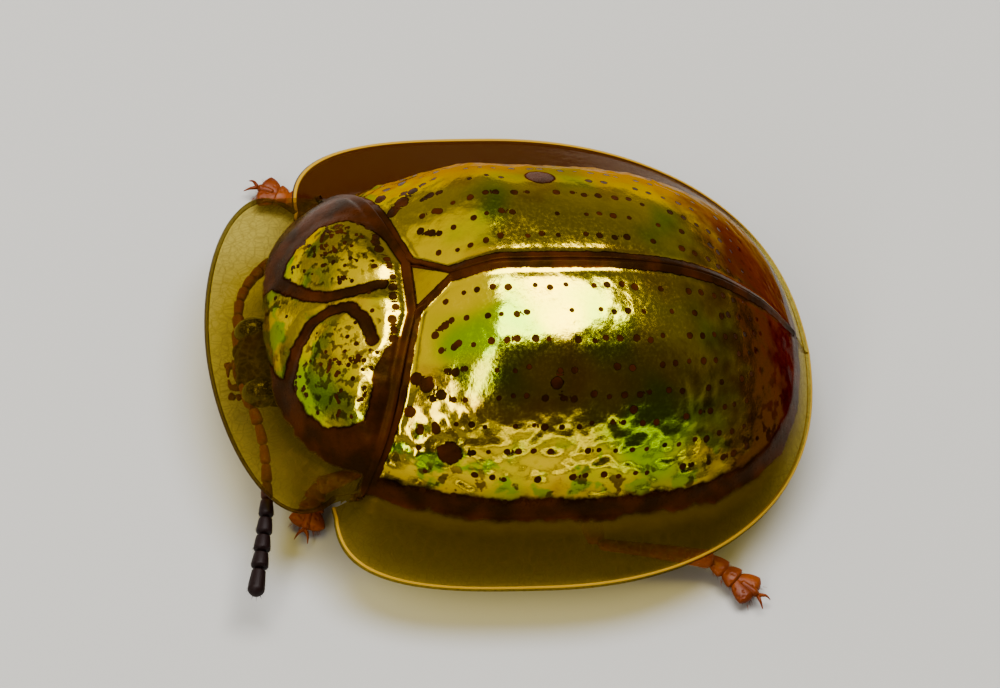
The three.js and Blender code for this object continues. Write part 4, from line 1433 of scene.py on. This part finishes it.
def foot_claws(bm, heel, toe, ahead, side):
    stalk = [heel.lerp(toe, share) + STALK_RISE for share in STALK]
    swept(bm, stalk, bead(STALK_RADIUS), *STALK_MESH)
    root = heel.lerp(toe, CLAW_ROOT) + STALK_RISE
    for hook in (-1, 1):
        path = [root]
        for forward, sideways, up in CLAW_PATH:
            path.append(root + ahead * forward + side * hook * sideways + Vector((0, 0, up)))
        swept(bm, path, taper(CLAW_RADIUS, CLAW_TAPER), *CLAW_MESH)


def foot(ankle, tip, rng):
    bm = bmesh.new()
    heel = Vector((ankle.x, ankle.y, ankle.z - HEEL_DROP))
    ahead = (tip - heel).normalized()
    side = Vector((0, 0, 1)).cross(ahead).normalized()
    foot_pads(bm, heel, tip, side)
    foot_claws(bm, heel, tip, ahead, side)
    for _ in range(SOLE_HAIRS):
        share = rng.uniform(*SOLE_ALONG)
        across = rng.uniform(-1, 1)
        root = heel.lerp(tip, share) + side * across * FOOT_HALF_WIDTH * lerp(*SOLE_WIDTH, share)
        root.z -= SOLE_DROP
        direction = ahead * SOLE_AHEAD + side * across * SOLE_SIDEWAYS
        direction.z += rng.uniform(*SOLE_DOWN)
        hair(bm, root, direction, SOLE_HAIR_LENGTH, SOLE_HAIR_RADIUS)
    for vert in bm.verts:
        vert.co.z = max(vert.co.z, FLOOR_GAP)
    return bm


LEG_CHITIN = brown_chitin("red_brown_leg_chitin", LEG_DARK, LEG_LIGHT, rough=0.35, pits_per_mm=18.0)
for name, points in LEGS.items():
    rng = random.Random(name)
    heights = (COXA_Z, KNEE_Z, ANKLE_Z, FOOT_Z)
    hip, knee, ankle, tip = [Vector((*point, z)) for point, z in zip(points, heights)]
    finished(thigh(hip, knee), "thigh_" + name, LEG_CHITIN, ["femur_" + name])
    finished(shin(knee, ankle, rng), "shin_" + name, LEG_CHITIN, ["tibia_" + name])
    finished(foot(ankle, tip, rng), "foot_" + name, LEG_CHITIN, ["tarsus_" + name])


# The studio: a pale sheet of paper to stand on, a large soft light overhead, a strip light ahead of the
# beetle's left side, a weak low strip beside it, and a grey room that is darker above than at its walls.

FLOOR_SIZE = 400
FLOOR_PALE = shade("#C2C0BB")
FLOOR_ROUGHNESS = 0.9
# each light: where it stands, what its long side points along, size, distance and radiance
LIGHTS = {
    "softbox": ((-0.225, 0.0, 0.97), (0, 1, 0), (76, 42), 75, 9.0),
    "strip": ((0.42, -0.57, 0.7), (0.84, 0.01, -0.49), (88, 16), 75, 6.0),
    "low_strip": ((0.95, 0.2, 0.16), (-0.2, 0.95, 0), (90, 9), 80, 1.6),
}
ROOM_LOW = shade("#9A988F")
ROOM_HIGH = shade("#6A6A68")
ROOM_DARK = shade("#544A40")
ROOM_GLOW = shade("#E8E4D8")
ROOM_STRENGTH = 0.9
GLOW_WALL = (-0.372, -0.644, 0.669)  # a bright wall ahead of the beetle
DARK_WALL = (0.72, 0.12, 0.68)  # the unlit side of the room
# fades over the room, as cosines of an angle
ROOM_FADE = (0.0, 0.7, 0.0, 1.0)
DARK_FADE = (0.5, 0.78, 0.0, 1.0)
DARK_ABOVE = (0.14, 0.3, 0.0, 1.0)
GLOW_FADE = (0.84, 0.97, 0.0, 1.0)


def floor():
    bm = bmesh.new()
    bmesh.ops.create_grid(bm, x_segments=1, y_segments=1, size=FLOOR_SIZE * MM / 2)
    mesh = bpy.data.meshes.new("floor")
    bm.to_mesh(mesh)
    bm.free()
    made, tree = material("matt_paper_floor")
    coated(tree, {"Base Color": FLOOR_PALE, "Roughness": FLOOR_ROUGHNESS})
    mesh.materials.append(made)
    sheet = bpy.data.objects.new("floor", mesh)
    bpy.context.scene.collection.objects.link(sheet)


def soft_light(name, stand, along, size, distance, radiance):
    lamp = bpy.data.lights.new(name, "AREA")
    lamp.shape = "ELLIPSE"
    lamp.size = size[0] * MM
    lamp.size_y = size[1] * MM
    # an evenly bright lamp gives off pi times its radiance for each bit of its oval
    lamp.energy = radiance * math.pi * math.pi / 4 * lamp.size * lamp.size_y
    light = bpy.data.objects.new(name, lamp)
    back = Vector(stand).normalized()
    side = Vector(along)
    side = (side - back * side.dot(back)).normalized()
    turn = Matrix((side, back.cross(side), back)).transposed().to_4x4()
    light.matrix_world = Matrix.Translation(back * distance * MM) @ turn
    bpy.context.scene.collection.objects.link(light)


def room():
    world = bpy.data.worlds.new("room")
    bpy.context.scene.world = world
    world.use_nodes = True
    tree = world.node_tree
    tree.nodes.clear()
    place = add(tree, "TexCoord", output="Generated")
    up = add(tree, "SeparateXYZ", (place,), "Z")
    height = add(tree, "MapRange", (up, *ROOM_FADE), **SMOOTH)
    colour = add(tree, "Mix", (height, ROOM_LOW, ROOM_HIGH), data_type="RGBA")
    dark = add(tree, "VectorMath", (place, DARK_WALL), operation="DOT_PRODUCT")
    dark = add(tree, "MapRange", (dark, *DARK_FADE), **SMOOTH)
    above = add(tree, "MapRange", (up, *DARK_ABOVE), **SMOOTH)
    dark = add(tree, "Math", (dark, above), operation="MULTIPLY")
    colour = add(tree, "Mix", (dark, colour, ROOM_DARK), data_type="RGBA")
    glow = add(tree, "VectorMath", (place, GLOW_WALL), operation="DOT_PRODUCT")
    glow = add(tree, "MapRange", (glow, *GLOW_FADE), **SMOOTH)
    colour = add(tree, "Mix", (glow, colour, ROOM_GLOW), data_type="RGBA")
    add(tree, "OutputWorld", (add(tree, "Background", (colour, ROOM_STRENGTH)),))


floor()
for name, settings in LIGHTS.items():
    soft_light(name, *settings)
room()
bpy.context.scene.view_settings.look = "AgX - Medium High Contrast"


# The camera: a long lens that looks down on the beetle's left side, a little from in front, and is
# turned round its own axis as the photo is.

CAMERA_AZIMUTH = math.radians(68.64)
CAMERA_ELEVATION = math.radians(55.98)
CAMERA_ROLL = math.radians(16.96)
CAMERA_TARGET = Vector((0.134, -0.207, 1.2))
FRAME_WIDTH = 10.43  # millimetres across the picture at the target
LENS = 300
SENSOR = 36
CLIP_NEAR = 1
CLIP_FAR = 10000


def camera():
    level = Vector((math.cos(CAMERA_AZIMUTH), math.sin(CAMERA_AZIMUTH), 0))
    outward = Vector((math.sin(CAMERA_AZIMUTH), -math.cos(CAMERA_AZIMUTH), 0))
    back = outward * math.cos(CAMERA_ELEVATION) + Vector((0, 0, math.sin(CAMERA_ELEVATION)))
    right = level * math.cos(CAMERA_ROLL) + back.cross(level) * math.sin(CAMERA_ROLL)
    data = bpy.data.cameras.new("camera")
    data.lens = LENS
    data.sensor_width = SENSOR
    data.clip_start = CLIP_NEAR * MM
    data.clip_end = CLIP_FAR * MM
    made = bpy.data.objects.new("camera", data)
    turn = Matrix((right, back.cross(right), back)).transposed().to_4x4()
    distance = FRAME_WIDTH * LENS / SENSOR
    made.matrix_world = Matrix.Translation((CAMERA_TARGET + back * distance) * MM) @ turn
    bpy.context.scene.collection.objects.link(made)
    bpy.context.scene.camera = made


camera()
